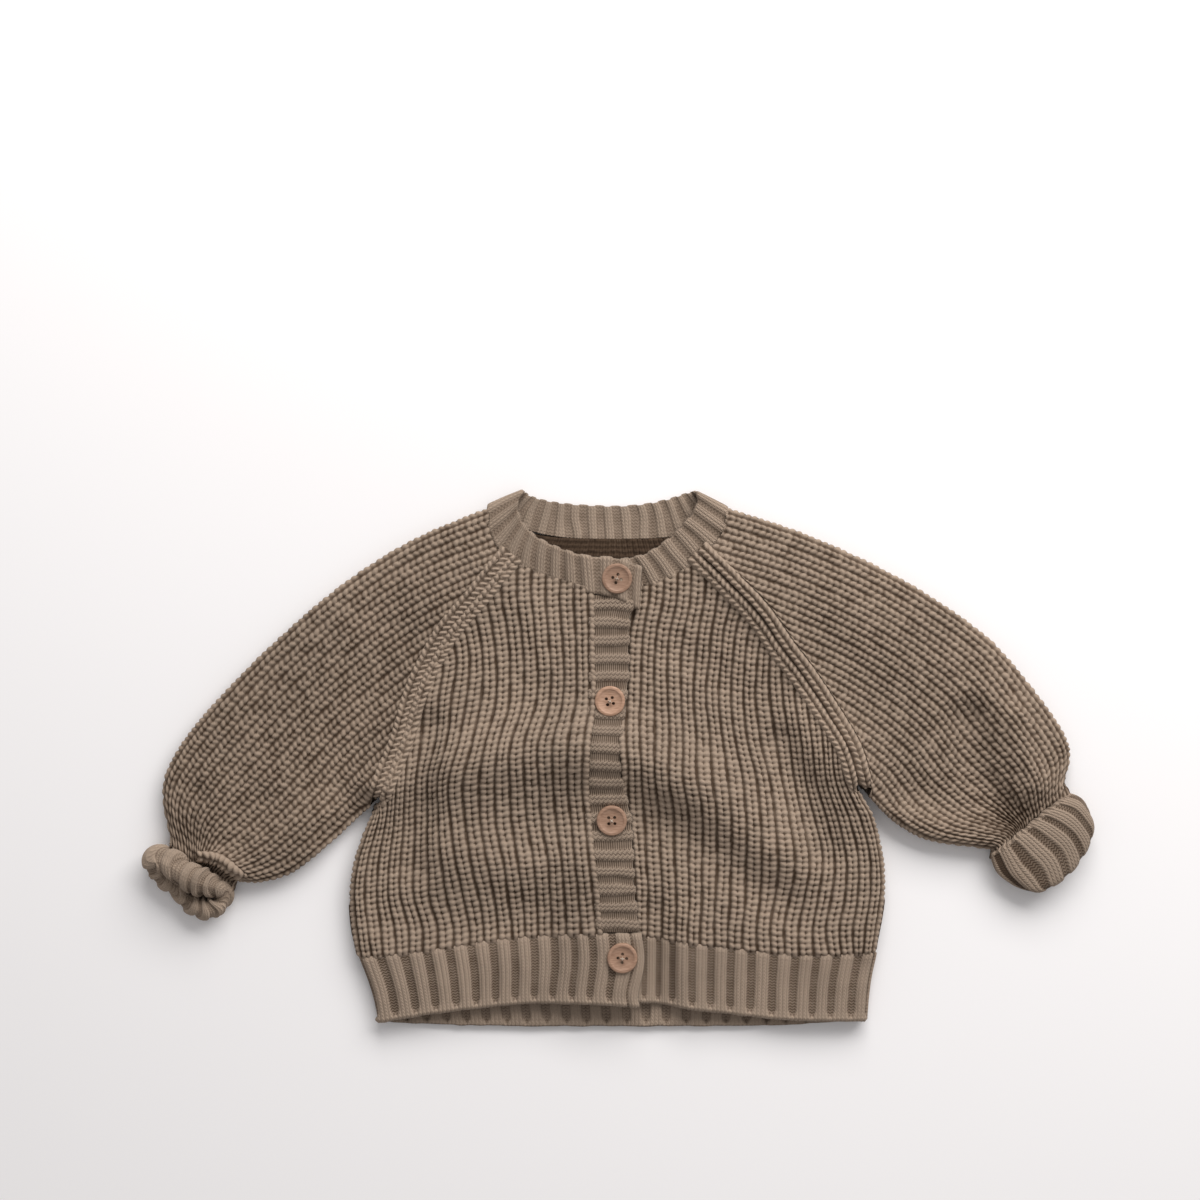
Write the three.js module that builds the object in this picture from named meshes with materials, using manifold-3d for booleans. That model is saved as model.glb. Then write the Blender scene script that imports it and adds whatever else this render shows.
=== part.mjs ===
// A baby's crew-neck cardigan in chunky knit, laid flat on its back with the buttons done up.
// Millimetres, +Z up. The cardigan lies on Z = 0 with its neck towards +Y. The wearer's right
// is at -X. The origin is under the middle of the whole laid garment.
import * as THREE from "three";
import { mergeVertices } from "three/addons/utils/BufferGeometryUtils.js";
import Module from "manifold-3d";

const wasm = await Module();
wasm.setup();

// ---- driving dimensions -------------------------------------------------------------------
const KNIT = 3.6; // thickness of the half-cardigan cloth of fronts, back and sleeves
const RIB = 2.8; // thickness of the finer ribbing of neck, hem, bands and cuffs
const HALF = 5.0; // half the laid height of two cloths with the air between them
const ROUND = 6.5; // how far in from a folded edge the cloth reaches its full height
const SEAM = 0.5; // gap left between two pieces along a seam
const OVER = 3.6; // how much higher the buttonhole side lies where it covers the button side
const RIB_DROP = 0.6; // how much lower the ribbing's face lies than the knit beside it
const BUTTON_RADIUS = 9;
const BUTTON_THICK = 3.2;

const COLOURS = {
  knit: "#a08d79",
  rib: "#9c8a77",
  wood: "#b08a70",
};

// ---- outline of the laid garment, rows of x, y ---------------------------------------------
const RIGHT = {
  shoulder: [
    [-79, 152], [-126, 132], [-168, 105], [-210, 69],
    [-245, 33], [-266, 6], [-275, -18], [-270, -49],
  ],
  underarm: [[-145, -26], [-169, -48], [-193, -68], [-214, -75], [-229, -74]],
  side: [[-145, -26], [-154, -43], [-162, -72], [-162, -97], [-158, -118], [-150, -140], [-146, -158]],
  raglan: [[-69, 117], [-86, 96], [-102, 77], [-115, 55], [-123, 36], [-129, 15], [-137, -5], [-145, -26]],
  headFront: [[-79, 152], [-80, 143], [-79, 134], [-75, 126], [-69, 117]],
  headBack: [[-79, 152], [-74, 147], [-68, 142], [-62, 138]],
  raglanBack: [[-62, 138], [-82, 110], [-100, 82], [-113, 57], [-122, 36], [-129, 15], [-137, -5], [-145, -26]],
};
const LEFT = {
  shoulder: [
    [65, 152], [118, 134], [174, 107], [222, 74],
    [251, 41], [268, 16], [272, 3], [268, -13],
  ],
  underarm: [[145, -19], [163, -38], [182, -49], [203, -53], [223, -55]],
  side: [[145, -19], [154, -35], [160, -62], [160, -86], [155, -115], [151, -135], [149, -157]],
  raglan: [[51, 120], [67, 104], [83, 87], [97, 67], [110, 50], [124, 29], [137, 7], [145, -19]],
  headFront: [[65, 152], [66, 144], [64, 135], [58, 127], [51, 120]],
  headBack: [[65, 152], [61, 147], [57, 142], [52, 138]],
  raglanBack: [[52, 138], [70, 112], [85, 88], [98, 68], [110, 50], [124, 29], [137, 7], [145, -19]],
};
const NECK_RIGHT = [[-17, 101], [-29, 104], [-45, 109], [-58, 114], [-69, 117]];
const NECK_LEFT = [[11, 102], [19, 104], [30, 108], [41, 113], [51, 120]];
const NECK_BACK = [[-62, 138], [-41, 134], [-17, 133], [12, 133], [32, 134], [52, 138]];
const HEM_SEAM_RIGHT = [[-13, -103], [-52, -105], [-80, -108], [-118, -114], [-158, -118]];
const HEM_SEAM_LEFT = [[13, -105], [35, -108], [59, -111], [106, -116], [155, -115]];
const HEM_EDGE_RIGHT = [[13, -148], [-29, -146], [-64, -147], [-109, -152], [-146, -158]];
const HEM_EDGE_LEFT = [[-12, -146], [14, -146], [55, -151], [100, -156], [149, -157]];
// The buttonhole band between its seam and its free edge, rows of y, seam x, free x.
const BAND = [
  [-103, -13, 13], [-80, -15, 10], [-54, -18, 8], [-34, -19, 9], [-14, -22, 4],
  [9, -23, 2], [31, -21, 4], [52, -19, 6], [71, -17, 6], [88, -17, 9], [97, -17, 11],
];

// The largest folds: a rounded ridge, or a trough where rise is negative, between two points.
const FOLDS = [
  { from: [-74, 110], to: [-119, 46], width: 10, rise: 2.2 },
  { from: [-119, 46], to: [-139, -8], width: 10, rise: 2.4 },
  { from: [-104, 30], to: [-116, -40], width: 11, rise: -2.2 },
  { from: [-36, 34], to: [-84, -8], width: 15, rise: 2.2 },
  { from: [-84, -8], to: [-94, -66], width: 15, rise: 1.8 },
  { from: [58, 112], to: [104, 58], width: 9, rise: 1.6 },
  { from: [104, 58], to: [139, -4], width: 10, rise: 2.6 },
  { from: [100, 28], to: [128, -34], width: 11, rise: -2.4 },
  { from: [34, 30], to: [76, -22], width: 15, rise: 2.4 },
  { from: [44, -16], to: [92, -74], width: 11, rise: -1.8 },
  { from: [98, -64], to: [118, -98], width: 16, rise: 1.8 },
  { from: [152, 6], to: [226, -38], width: 7, rise: -2.0 },
  { from: [168, -26], to: [216, -45], width: 9, rise: 1.8 },
  { from: [214, 16], to: [240, -26], width: 12, rise: -1.8 },
  { from: [-134, 64], to: [-162, 4], width: 13, rise: -1.6 },
  { from: [-176, -26], to: [-226, -58], width: 15, rise: 1.8 },
  { from: [-226, 30], to: [-246, -30], width: 16, rise: 2.0 },
];

// ---- plane curves -------------------------------------------------------------------------
const vector = ([x, y]) => new THREE.Vector2(x, y);
const curveThrough = (rows) => new THREE.SplineCurve(rows.map(vector));
const spaced = (rows, count) => curveThrough(rows).getSpacedPoints(count);
const mix = (a, b, t) => a.clone().lerp(b, t);

// One silhouette edge: its points, and on which side of its direction the cloth lies.
const silhouette = (rows, cloth) => ({ points: spaced(rows, 36), cloth });
const SILHOUETTES = [
  silhouette(RIGHT.shoulder, 1),
  silhouette(RIGHT.underarm, -1),
  silhouette(RIGHT.side, 1),
  silhouette(LEFT.shoulder, -1),
  silhouette(LEFT.underarm, 1),
  silhouette(LEFT.side, -1),
];

function nearestOn(a, b, p) {
  const along = b.clone().sub(a);
  const t = THREE.MathUtils.clamp(p.clone().sub(a).dot(along) / along.lengthSq(), 0, 1);
  return { foot: a.clone().addScaledVector(along, t), along, t };
}

// How far a point lies in from the nearest folded edge, and the way in from that edge.
function fromEdge(p) {
  let best = { distance: Infinity, level: Infinity, inward: new THREE.Vector2() };
  for (const { points, cloth } of SILHOUETTES) {
    for (let i = 0; i + 1 < points.length; i++) {
      const { foot, along } = nearestOn(points[i], points[i + 1], p);
      const distance = foot.distanceTo(p);
      if (distance >= best.distance - 1e-9) continue;
      const square = new THREE.Vector2(-along.y, along.x).normalize().multiplyScalar(cloth);
      const onEdge = distance < 0.3;
      best = { distance, level: onEdge ? 0 : distance, inward: onEdge ? square : p.clone().sub(foot).normalize() };
    }
  }
  return best;
}

function foldRise(p) {
  let rise = 0;
  for (const fold of FOLDS) {
    const { foot } = nearestOn(vector(fold.from), vector(fold.to), p);
    rise += fold.rise * Math.exp(-((foot.distanceTo(p) / fold.width) ** 2));
  }
  return rise;
}

// The outer and the inner point of the cloth over, or under, a place in the plan.
function clothAt(p, { under = false, thick = KNIT, drop = 0, raise = 0, gather = 0.5 } = {}) {
  const { level: depth, inward } = fromEdge(p);
  const level = Math.min(depth / ROUND, 1);
  const lift = Math.sqrt(1 - (1 - level) ** 2);
  const rise = under ? 0 : foldRise(p) * lift + raise;
  const reach = (HALF - drop) * lift + rise;
  const wall = thick * lift + Math.max(rise, 0) * gather; // under a ridge the layers gather
  const sign = under ? -1 : 1;
  const inset = inward.clone().multiplyScalar(thick * (1 - level));
  return {
    outer: new THREE.Vector3(p.x, p.y, HALF + sign * reach),
    inner: new THREE.Vector3(p.x + inset.x, p.y + inset.y, HALF + sign * (reach - wall)),
  };
}

// ---- closed walls from rows of points -------------------------------------------------------
function closedMesh(name, positions, triangles, colour) {
  const geometry = new THREE.BufferGeometry();
  geometry.setAttribute("position", new THREE.Float32BufferAttribute(positions.flatMap((p) => p.toArray()), 3));
  geometry.setIndex(triangles);
  geometry.computeVertexNormals();
  return named(name, geometry, colour);
}

function named(name, geometry, colour, roughness = 0.95) {
  const material = new THREE.MeshStandardMaterial({ color: colour, roughness, metalness: 0 });
  const mesh = new THREE.Mesh(geometry, material);
  mesh.name = name;
  return mesh;
}

function signedVolume(positions, triangles) {
  let volume = 0;
  for (let i = 0; i < triangles.length; i += 3) {
    const [a, b, c] = [0, 1, 2].map((k) => positions[triangles[i + k]]);
    volume += a.dot(b.clone().cross(c)) / 6;
  }
  return volume;
}

function facingOut(positions, triangles) {
  if (signedVolume(positions, triangles) > 0) return triangles;
  for (let i = 0; i < triangles.length; i += 3) {
    [triangles[i + 1], triangles[i + 2]] = [triangles[i + 2], triangles[i + 1]];
  }
  return triangles;
}

// A sheet with a thickness: rows of { outer, inner } points, closed all round its rim.
function sheetWall(name, rows, colour) {
  const across = rows[0].length;
  const total = rows.length * across;
  const positions = [...rows.flat().map((p) => p.outer), ...rows.flat().map((p) => p.inner)];
  const triangles = [];
  const quad = (a, b, c, d) => triangles.push(a, b, c, a, c, d);
  for (let i = 0; i + 1 < rows.length; i++) {
    for (let j = 0; j + 1 < across; j++) {
      const a = i * across + j;
      quad(a, a + 1, a + across + 1, a + across);
      quad(total + a, total + a + across, total + a + across + 1, total + a + 1);
    }
  }
  const rim = (a, b) => quad(a, total + a, total + b, b);
  for (let j = 0; j + 1 < across; j++) {
    rim(j, j + 1);
    rim((rows.length - 1) * across + j + 1, (rows.length - 1) * across + j);
  }
  for (let i = 0; i + 1 < rows.length; i++) {
    rim((i + 1) * across, i * across);
    rim((i + 1) * across - 1, (i + 2) * across - 1);
  }
  return closedMesh(name, positions, facingOut(positions, triangles), colour);
}

// A tube wall: closed loops of points, taken in order round its section, the last joining the first.
function tubeWall(name, loops, colour) {
  const around = loops[0].length;
  const positions = loops.flat();
  const triangles = [];
  loops.forEach((loop, i) => {
    const next = ((i + 1) % loops.length) * around;
    loop.forEach((_, j) => {
      const k = (j + 1) % around;
      const here = i * around;
      triangles.push(here + j, here + k, next + k, here + j, next + k, next + j);
    });
  });
  return closedMesh(name, positions, facingOut(positions, triangles), colour);
}

// A patch between four edges: low and high are kept, start and end are fitted in between them.
function patch(start, end, low, high) {
  const bow = (side, v) => side(v).sub(mix(side(0), side(1), v));
  return (u, v) => {
    const across = mix(low(u), high(u), v);
    return across.addScaledVector(bow(start, v), 1 - u).addScaledVector(bow(end, v), u);
  };
}

const edge = (rows) => {
  const curve = curveThrough(rows);
  return (t) => curve.getPointAt(THREE.MathUtils.clamp(t, 0, 1));
};

// ---- fronts and back ------------------------------------------------------------------------
// Steps across a panel: evenly over its width, and closer towards a folded edge.
const TO_FOLD = [0, 0.12, 0.25, 0.38, 0.51, 0.64, 0.77, 0.88, 0.945, 0.975, 0.992, 1];
const FOLD_TO_FOLD = [
  0, 0.004, 0.012, 0.028, 0.07, 0.16, 0.27, 0.385, 0.5,
  0.615, 0.73, 0.84, 0.93, 0.972, 0.988, 0.996, 1,
];
const SIDE_ROWS = 5; // rows of a panel from the hem seam to the armpit
const RAGLAN_ROWS = 10; // rows from the armpit to the neck

// The side fold from the hem seam up to the armpit, then the raglan seam up to the neck.
function panelEdge(side, raglan, gap) {
  const above = side.filter(([, y]) => y >= -118.5).reverse();
  const low = spaced(above, SIDE_ROWS);
  const high = spaced(moved([...raglan].reverse(), gap), RAGLAN_ROWS);
  return [...low.slice(0, -1), ...high];
}

const lowered = (rows, y) => rows.map(([x, at]) => [x, at + y]);
const moved = (rows, x) => rows.map(([at, y]) => [at + x, y]);

// An edge through rows of points whose two ends are put at given corners.
const between = (from, rows, to) => edge([from, ...rows.slice(1, -1), to]);
const cornerOf = (point, y) => [point.x, point.y + y];

// A function of the share of height up a panel, through its own edge points at their rows.
function edgeByRow(points, shares) {
  return (v) => {
    const i = Math.min(shares.findIndex((s, k) => v <= shares[k + 1] || k + 2 === shares.length), shares.length - 2);
    const t = (v - shares[i]) / (shares[i + 1] - shares[i]);
    return mix(points[i], points[i + 1], t);
  };
}

const sharesOf = (points) => points.map((p) => (p.y - points[0].y) / (points.at(-1).y - points[0].y));

const bandCurve = (column, from = -103, to = 200) =>
  BAND.filter(([y]) => y >= from && y <= to).map((row) => [row[column], row[0]]);

// The buttonhole side rides up over the button side towards the middle.
const rideUp = (x) => OVER * THREE.MathUtils.smoothstep(x, -48, -20);

function frontPanel(name, cut, bandEdge, hemSeam, neck, raise, way) {
  const outline = panelEdge(cut.side, cut.raglan, way * SEAM);
  const shares = sharesOf(outline);
  const low = between(hemSeam[0], hemSeam, cornerOf(outline[0], SEAM));
  const high = between(neck[0], neck, cornerOf(outline.at(-1), -SEAM));
  const plan = patch(edge(bandEdge), edgeByRow(outline, shares), low, high);
  const rows = shares.map((v) =>
    TO_FOLD.map((u) => {
      const p = plan(u, v);
      return clothAt(p, { raise: raise(p.x) });
    }),
  );
  return sheetWall(name, rows, COLOURS.knit);
}

const frontRight = frontPanel(
  "front_right", RIGHT, moved(bandCurve(1), -SEAM), lowered(moved(HEM_SEAM_RIGHT, -SEAM), SEAM),
  lowered(moved(NECK_RIGHT, -SEAM), -SEAM), rideUp, 1,
);
const frontLeft = frontPanel(
  "front_left", LEFT, moved(bandCurve(2), 2 * SEAM), lowered(moved(HEM_SEAM_LEFT, SEAM), SEAM),
  lowered(moved(NECK_LEFT, SEAM), -SEAM), () => 0, -1,
);

function backPanel() {
  const right = panelEdge(RIGHT.side, RIGHT.raglanBack, SEAM);
  const left = panelEdge(LEFT.side, LEFT.raglanBack, -SEAM);
  const shares = sharesOf(right);
  const low = (u) => mix(right[0], left[0], u);
  const neck = lowered(NECK_BACK, -SEAM);
  const high = between(cornerOf(right.at(-1), -SEAM), neck, cornerOf(left.at(-1), -SEAM));
  const plan = patch(edgeByRow(right, shares), edgeByRow(left, sharesOf(left)), low, high);
  const rows = shares.map((v) => FOLD_TO_FOLD.map((u) => clothAt(plan(u, v), { under: true })));
  rows.flat().forEach((p) => {
    p.outer.z = Math.min(p.outer.z, HALF - SEAM);
    p.inner.z = Math.min(p.inner.z, HALF - SEAM);
  });
  return sheetWall("back", rows, COLOURS.knit);
}

// ---- sleeves --------------------------------------------------------------------------------
const SLEEVE_STEPS = [0, 0.05, 0.12, 0.2, 0.3, 0.4, 0.5, 0.6, 0.7, 0.79, 0.87, 0.94, 1];
const ROUND_SLEEVE = [0, 0.012, 0.03, 0.06, 0.13, 0.24, 0.37, 0.5, 0.63, 0.76, 0.87, 0.94, 0.97, 0.988, 1];

function sleeve(name, cut, way) {
  const cuffLine = (u) => mix(vector(cut.shoulder.at(-1)), vector(cut.underarm.at(-1)), u);
  const facePlan = (head) => patch(edge(cut.shoulder), edge(cut.underarm), edge(moved(head, way * SEAM)), cuffLine);
  const upper = facePlan([...cut.headFront, ...cut.raglan.slice(1)]);
  const lower = facePlan([...cut.headBack, ...cut.raglanBack.slice(1)]);
  const rings = SLEEVE_STEPS.map((v) => {
    const over = ROUND_SLEEVE.map((u) => clothAt(upper(u, v)));
    const under = ROUND_SLEEVE.map((u) => clothAt(lower(u, v), { under: true }));
    return [...over, ...under.slice(1, -1).reverse()];
  });
  const outer = rings.map((ring) => ring.map((p) => p.outer));
  const inner = rings.map((ring) => ring.map((p) => p.inner));
  return tubeWall(name, [...outer, ...inner.reverse()], COLOURS.knit);
}

// ---- hem ribs -------------------------------------------------------------------------------
function hemPiece(name, seam, low, start, end, steps, options, raise) {
  const plan = patch(edge(start), edge(end), edge(low), edge(seam));
  const rows = [0, 0.34, 0.67, 1].map((v) =>
    steps.map((u) => {
      const p = plan(u, v);
      return clothAt(p, { ...options, thick: RIB, raise: raise(p.x) });
    }),
  );
  return sheetWall(name, rows, COLOURS.rib);
}

const HEM_OVER_EDGE = [[13, -148], [11, -140], [14, -116], [13, -103]];
const sideBelow = (side, y) => side.filter((row) => row[1] <= y + 0.5).reverse();
const hemRight = hemPiece(
  "hem_rib_right", [[13, -103], ...HEM_SEAM_RIGHT], HEM_EDGE_RIGHT,
  HEM_OVER_EDGE, sideBelow(RIGHT.side, -118), TO_FOLD, { drop: RIB_DROP, gather: 0 }, rideUp,
);
const hemLeft = hemPiece(
  "hem_rib_left", [[-12, -105], ...HEM_SEAM_LEFT], HEM_EDGE_LEFT,
  [[-12, -146], [-12, -105]], sideBelow(LEFT.side, -115), TO_FOLD, { drop: RIB_DROP }, () => 0,
);

function hemBack() {
  const right = sideBelow(RIGHT.side, -118);
  const left = sideBelow(LEFT.side, -115);
  const low = [right[0], [-90, -160], [0, -161], [90, -160], left[0]];
  const seam = (u) => mix(vector(right.at(-1)), vector(left.at(-1)), u).add(new THREE.Vector2(0, -SEAM));
  const plan = patch(edge(right), edge(left), edge(low), seam);
  const rows = [0, 0.34, 0.67, 1].map((v) =>
    FOLD_TO_FOLD.map((u) => {
      const cloth = clothAt(plan(u, v), { under: true, thick: RIB });
      cloth.outer.z = Math.min(cloth.outer.z, HALF - SEAM);
      cloth.inner.z = Math.min(cloth.inner.z, HALF - SEAM);
      return cloth;
    }),
  );
  return sheetWall("hem_rib_back", rows, COLOURS.rib);
}

// ---- bands down the middle --------------------------------------------------------------------
const FACE = 2 * HALF - RIB_DROP; // height of the outer face of the ribbing on the upper layer

function bandPiece(name, level, inset) {
  const rows = BAND.map(([y, seam, free]) =>
    [0, 0.5, 1].map((t) => {
      const x = THREE.MathUtils.lerp(seam + inset, free - inset, t);
      return {
        outer: new THREE.Vector3(x, y, level),
        inner: new THREE.Vector3(x, y, level - RIB),
      };
    }),
  );
  rows[0].forEach((p) => [p.outer, p.inner].forEach((q) => (q.y += SEAM)));
  rows.at(-1).forEach((p) => [p.outer, p.inner].forEach((q) => (q.y -= SEAM + 6 * (q.x > 2))));
  return sheetWall(name, rows, COLOURS.rib);
}

// ---- neckband -----------------------------------------------------------------------------------
// Rows round the neck: x and y of the seam, x and y of the free edge, height of its middle.
const UPPER = FACE - RIB / 2;
const NECKBAND = [
  [12, 91, 14, 114, UPPER + OVER], [-3, 98, 0, 120.5, UPPER + OVER], [-17, 101, -19, 122, UPPER + 0.9 * OVER],
  [-31, 105, -32, 126, UPPER + 0.4 * OVER], [-45, 109, -43, 130, UPPER], [-57, 114, -51, 136, UPPER],
  [-68, 120, -57, 142, UPPER], [-74, 128, -60, 148, UPPER], [-77.5, 136, -60.5, 153, UPPER],
  [-78, 144, -59.5, 155, UPPER], [-78, 149, -58, 158, UPPER - 0.9], [-78, 152, -57, 160, HALF],
  [-74, 149, -56, 158.5, RIB / 2 + 0.5], [-67, 143, -53, 157, RIB / 2], [-52, 136.5, -45, 156, RIB / 2],
  [-34, 134, -33, 154, RIB / 2], [-15, 133, -16, 153, RIB / 2], [4, 133, 2, 153, RIB / 2],
  [22, 133.5, 18, 154, RIB / 2], [39, 135.5, 31, 157, RIB / 2], [54, 142, 40, 158.5, RIB / 2],
  [61, 149, 44, 159, RIB / 2 + 0.5], [65, 152, 45, 160, HALF],
  [65, 149, 46, 158.5, UPPER - 0.9], [65, 144, 47, 157, UPPER], [64, 136, 46.5, 151, UPPER],
  [58, 127, 41, 144, UPPER], [50, 119.5, 35, 138, UPPER], [41, 113.5, 27, 132, UPPER],
  [29, 108, 16, 126, UPPER], [16, 104, 6, 122, UPPER], [4, 101, -5, 120, UPPER],
];

function neckband() {
  const seams = NECKBAND.map(([x, y, , , z]) => new THREE.Vector3(x, y, z));
  const frees = NECKBAND.map(([, , x, y, z]) => new THREE.Vector3(x, y, z));
  const middles = seams.map((p, i) => p.clone().lerp(frees[i], 0.5));
  const rows = seams.map((seam, i) => {
    const ahead = middles[Math.min(i + 1, middles.length - 1)];
    const behind = middles[Math.max(i - 1, 0)];
    const width = frees[i].clone().sub(seam).normalize();
    const out = width.clone().cross(ahead.clone().sub(behind)).normalize().multiplyScalar(RIB / 2);
    return [0, 0.5, 1].map((t) => {
      const at = seam.clone().lerp(frees[i], 0.03 + 0.97 * t);
      return { outer: at.clone().add(out), inner: at.clone().sub(out) };
    });
  });
  return sheetWall("neckband", rows, COLOURS.rib);
}

// ---- turned-back cuffs ----------------------------------------------------------------------------
const CUFF_AROUND = 28;

// One loop of a flattened tube: squarer than an ellipse, as cloth lies when it is pressed flat.
function flatLoop(centre, across, halfWidth, halfHeight, lie) {
  return Array.from({ length: CUFF_AROUND }, (_, j) => {
    const turn = (j / CUFF_AROUND) * 2 * Math.PI;
    const flat = (value, power) => Math.sign(value) * Math.abs(value) ** power;
    const side = flat(Math.cos(turn), 0.8) * halfWidth;
    const up = flat(Math.sin(turn), 0.7) * halfHeight;
    return new THREE.Vector3(centre.x + across.x * side, centre.y + across.y * side, lie + up);
  });
}

// Sizes of each cuff: its seam line, its length, and its half width at the seam, middle and fold.
const CUFFS = {
  cuff_right: { seam: [[-272, -52], [-229, -76]], length: 23, halfWidths: [26, 29.5, 26], lie: 7.2 },
  cuff_left: { seam: [[269, -15], [224, -57]], length: 29, halfWidths: [30, 31, 24], lie: 7.2 },
};

function cuff(name, { seam, length, halfWidths, lie }, way) {
  const [high, low] = seam.map(vector);
  const across = high.clone().sub(low).normalize();
  const out = new THREE.Vector2(-across.y, across.x).multiplyScalar(way);
  const middle = mix(high, low, 0.5);
  const widths = new THREE.QuadraticBezierCurve(
    new THREE.Vector2(0, halfWidths[0]),
    new THREE.Vector2(0.5, 2 * halfWidths[1] - (halfWidths[0] + halfWidths[2]) / 2),
    new THREE.Vector2(1, halfWidths[2]),
  );
  const loop = (at, inset) => {
    const centre = middle.clone().addScaledVector(out, SEAM + 0.6 + at * length);
    return flatLoop(centre, across, widths.getPoint(at).y - inset, lie - inset, lie);
  };
  const layerGap = 0.4;
  // Round the section: back along the turned-up layer, over the fold, and in along the lining layer.
  const section = [
    [0, 0], [0.25, 0], [0.5, 0], [0.75, 0], [0.93, 0], [1, 1.4], [1.02, RIB + layerGap / 2],
    [1, 2 * RIB + layerGap - 1.2], [0.9, 2 * RIB + layerGap], [0.45, 2 * RIB + layerGap],
    [0, 2 * RIB + layerGap], [0, RIB + layerGap], [0.45, RIB + layerGap], [0.92, RIB + layerGap],
    [0.92, RIB], [0.45, RIB], [0, RIB],
  ];
  return tubeWall(name, section.map(([at, inset]) => loop(at, inset)), COLOURS.rib);
}

// ---- buttons ----------------------------------------------------------------------------------------
const BUTTONS = [
  { name: "button_1", x: 0, y: 108, turn: 32, lie: FACE + OVER },
  { name: "button_2", x: -6, y: 36, turn: 14, lie: FACE + OVER },
  { name: "button_3", x: -4, y: -36, turn: 4, lie: FACE + OVER },
  { name: "button_4", x: 2, y: -118, turn: 36, lie: FACE + OVER },
];
const HOLE_RADIUS = 0.95;
const HOLE_SPACING = 3.6;

function solidOf(geometry) {
  const bare = geometry.clone();
  bare.deleteAttribute("normal");
  bare.deleteAttribute("uv");
  const merged = mergeVertices(bare, 1e-4);
  return new wasm.Manifold(
    new wasm.Mesh({
      numProp: 3,
      vertProperties: merged.attributes.position.array,
      triVerts: new Uint32Array(merged.index.array),
    }),
  );
}

function geometryOf(solid) {
  const mesh = solid.getMesh();
  const geometry = new THREE.BufferGeometry();
  geometry.setAttribute("position", new THREE.BufferAttribute(mesh.vertProperties, 3));
  geometry.setIndex(new THREE.BufferAttribute(mesh.triVerts, 1));
  return geometry;
}

// A turned wooden button: a raised rim round a shallow dish, and four sewing holes.
function buttonGeometry() {
  const r = BUTTON_RADIUS;
  const profile = [
    [0, 0], [r - 1.6, 0], [r - 0.3, 0.9], [r, 1.7], [r - 0.4, 2.7],
    [r - 1.3, BUTTON_THICK], [r - 2.2, BUTTON_THICK - 0.2], [r - 3, BUTTON_THICK - 0.7], [0, BUTTON_THICK - 0.8],
  ];
  const disc = new THREE.LatheGeometry(profile.map(vector), 28).rotateX(Math.PI / 2);
  let solid = solidOf(disc);
  for (const x of [-1, 1]) {
    for (const y of [-1, 1]) {
      const hole = new THREE.CylinderGeometry(HOLE_RADIUS, HOLE_RADIUS, 3 * BUTTON_THICK, 8);
      hole.rotateX(Math.PI / 2).translate((x * HOLE_SPACING) / 2, (y * HOLE_SPACING) / 2, 0);
      solid = solid.subtract(solidOf(hole));
    }
  }
  return geometryOf(solid);
}

function buttons() {
  const geometry = buttonGeometry();
  return BUTTONS.map(({ name, x, y, turn, lie }) => {
    const button = named(name, geometry, COLOURS.wood, 0.55);
    button.position.set(x, y, lie + SEAM);
    button.rotation.z = THREE.MathUtils.degToRad(turn);
    return button;
  });
}

// ---- the cardigan -------------------------------------------------------------------------------------
const cardigan = new THREE.Group();
cardigan.add(
  backPanel(),
  frontRight,
  frontLeft,
  sleeve("sleeve_right", RIGHT, -1),
  sleeve("sleeve_left", LEFT, 1),
  hemBack(),
  hemRight,
  hemLeft,
  bandPiece("buttonhole_band", FACE + OVER, 0),
  bandPiece("button_band", FACE, 2),
  neckband(),
  cuff("cuff_right", CUFFS.cuff_right, 1),
  cuff("cuff_left", CUFFS.cuff_left, -1),
  ...buttons(),
);

export default cardigan;
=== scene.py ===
"""A baby's crew-neck cardigan in chunky rib knit, buttoned up and laid flat on a pale surface."""
import math
import bpy
import numpy as np
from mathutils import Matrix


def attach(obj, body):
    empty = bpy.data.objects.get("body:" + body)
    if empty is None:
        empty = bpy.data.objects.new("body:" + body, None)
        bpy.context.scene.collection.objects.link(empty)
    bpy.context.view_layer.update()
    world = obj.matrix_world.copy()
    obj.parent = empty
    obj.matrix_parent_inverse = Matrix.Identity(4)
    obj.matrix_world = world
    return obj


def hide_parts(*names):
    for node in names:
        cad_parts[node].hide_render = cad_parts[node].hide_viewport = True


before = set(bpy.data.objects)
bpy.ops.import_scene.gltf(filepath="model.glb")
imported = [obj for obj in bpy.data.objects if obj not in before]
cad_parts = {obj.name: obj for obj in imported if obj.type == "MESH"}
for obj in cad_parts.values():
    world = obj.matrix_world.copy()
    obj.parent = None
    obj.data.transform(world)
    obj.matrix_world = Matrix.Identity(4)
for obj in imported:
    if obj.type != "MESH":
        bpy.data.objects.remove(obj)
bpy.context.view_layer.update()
MM = 0.001
UP = np.array([0.0, 0.0, 1.0])

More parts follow.
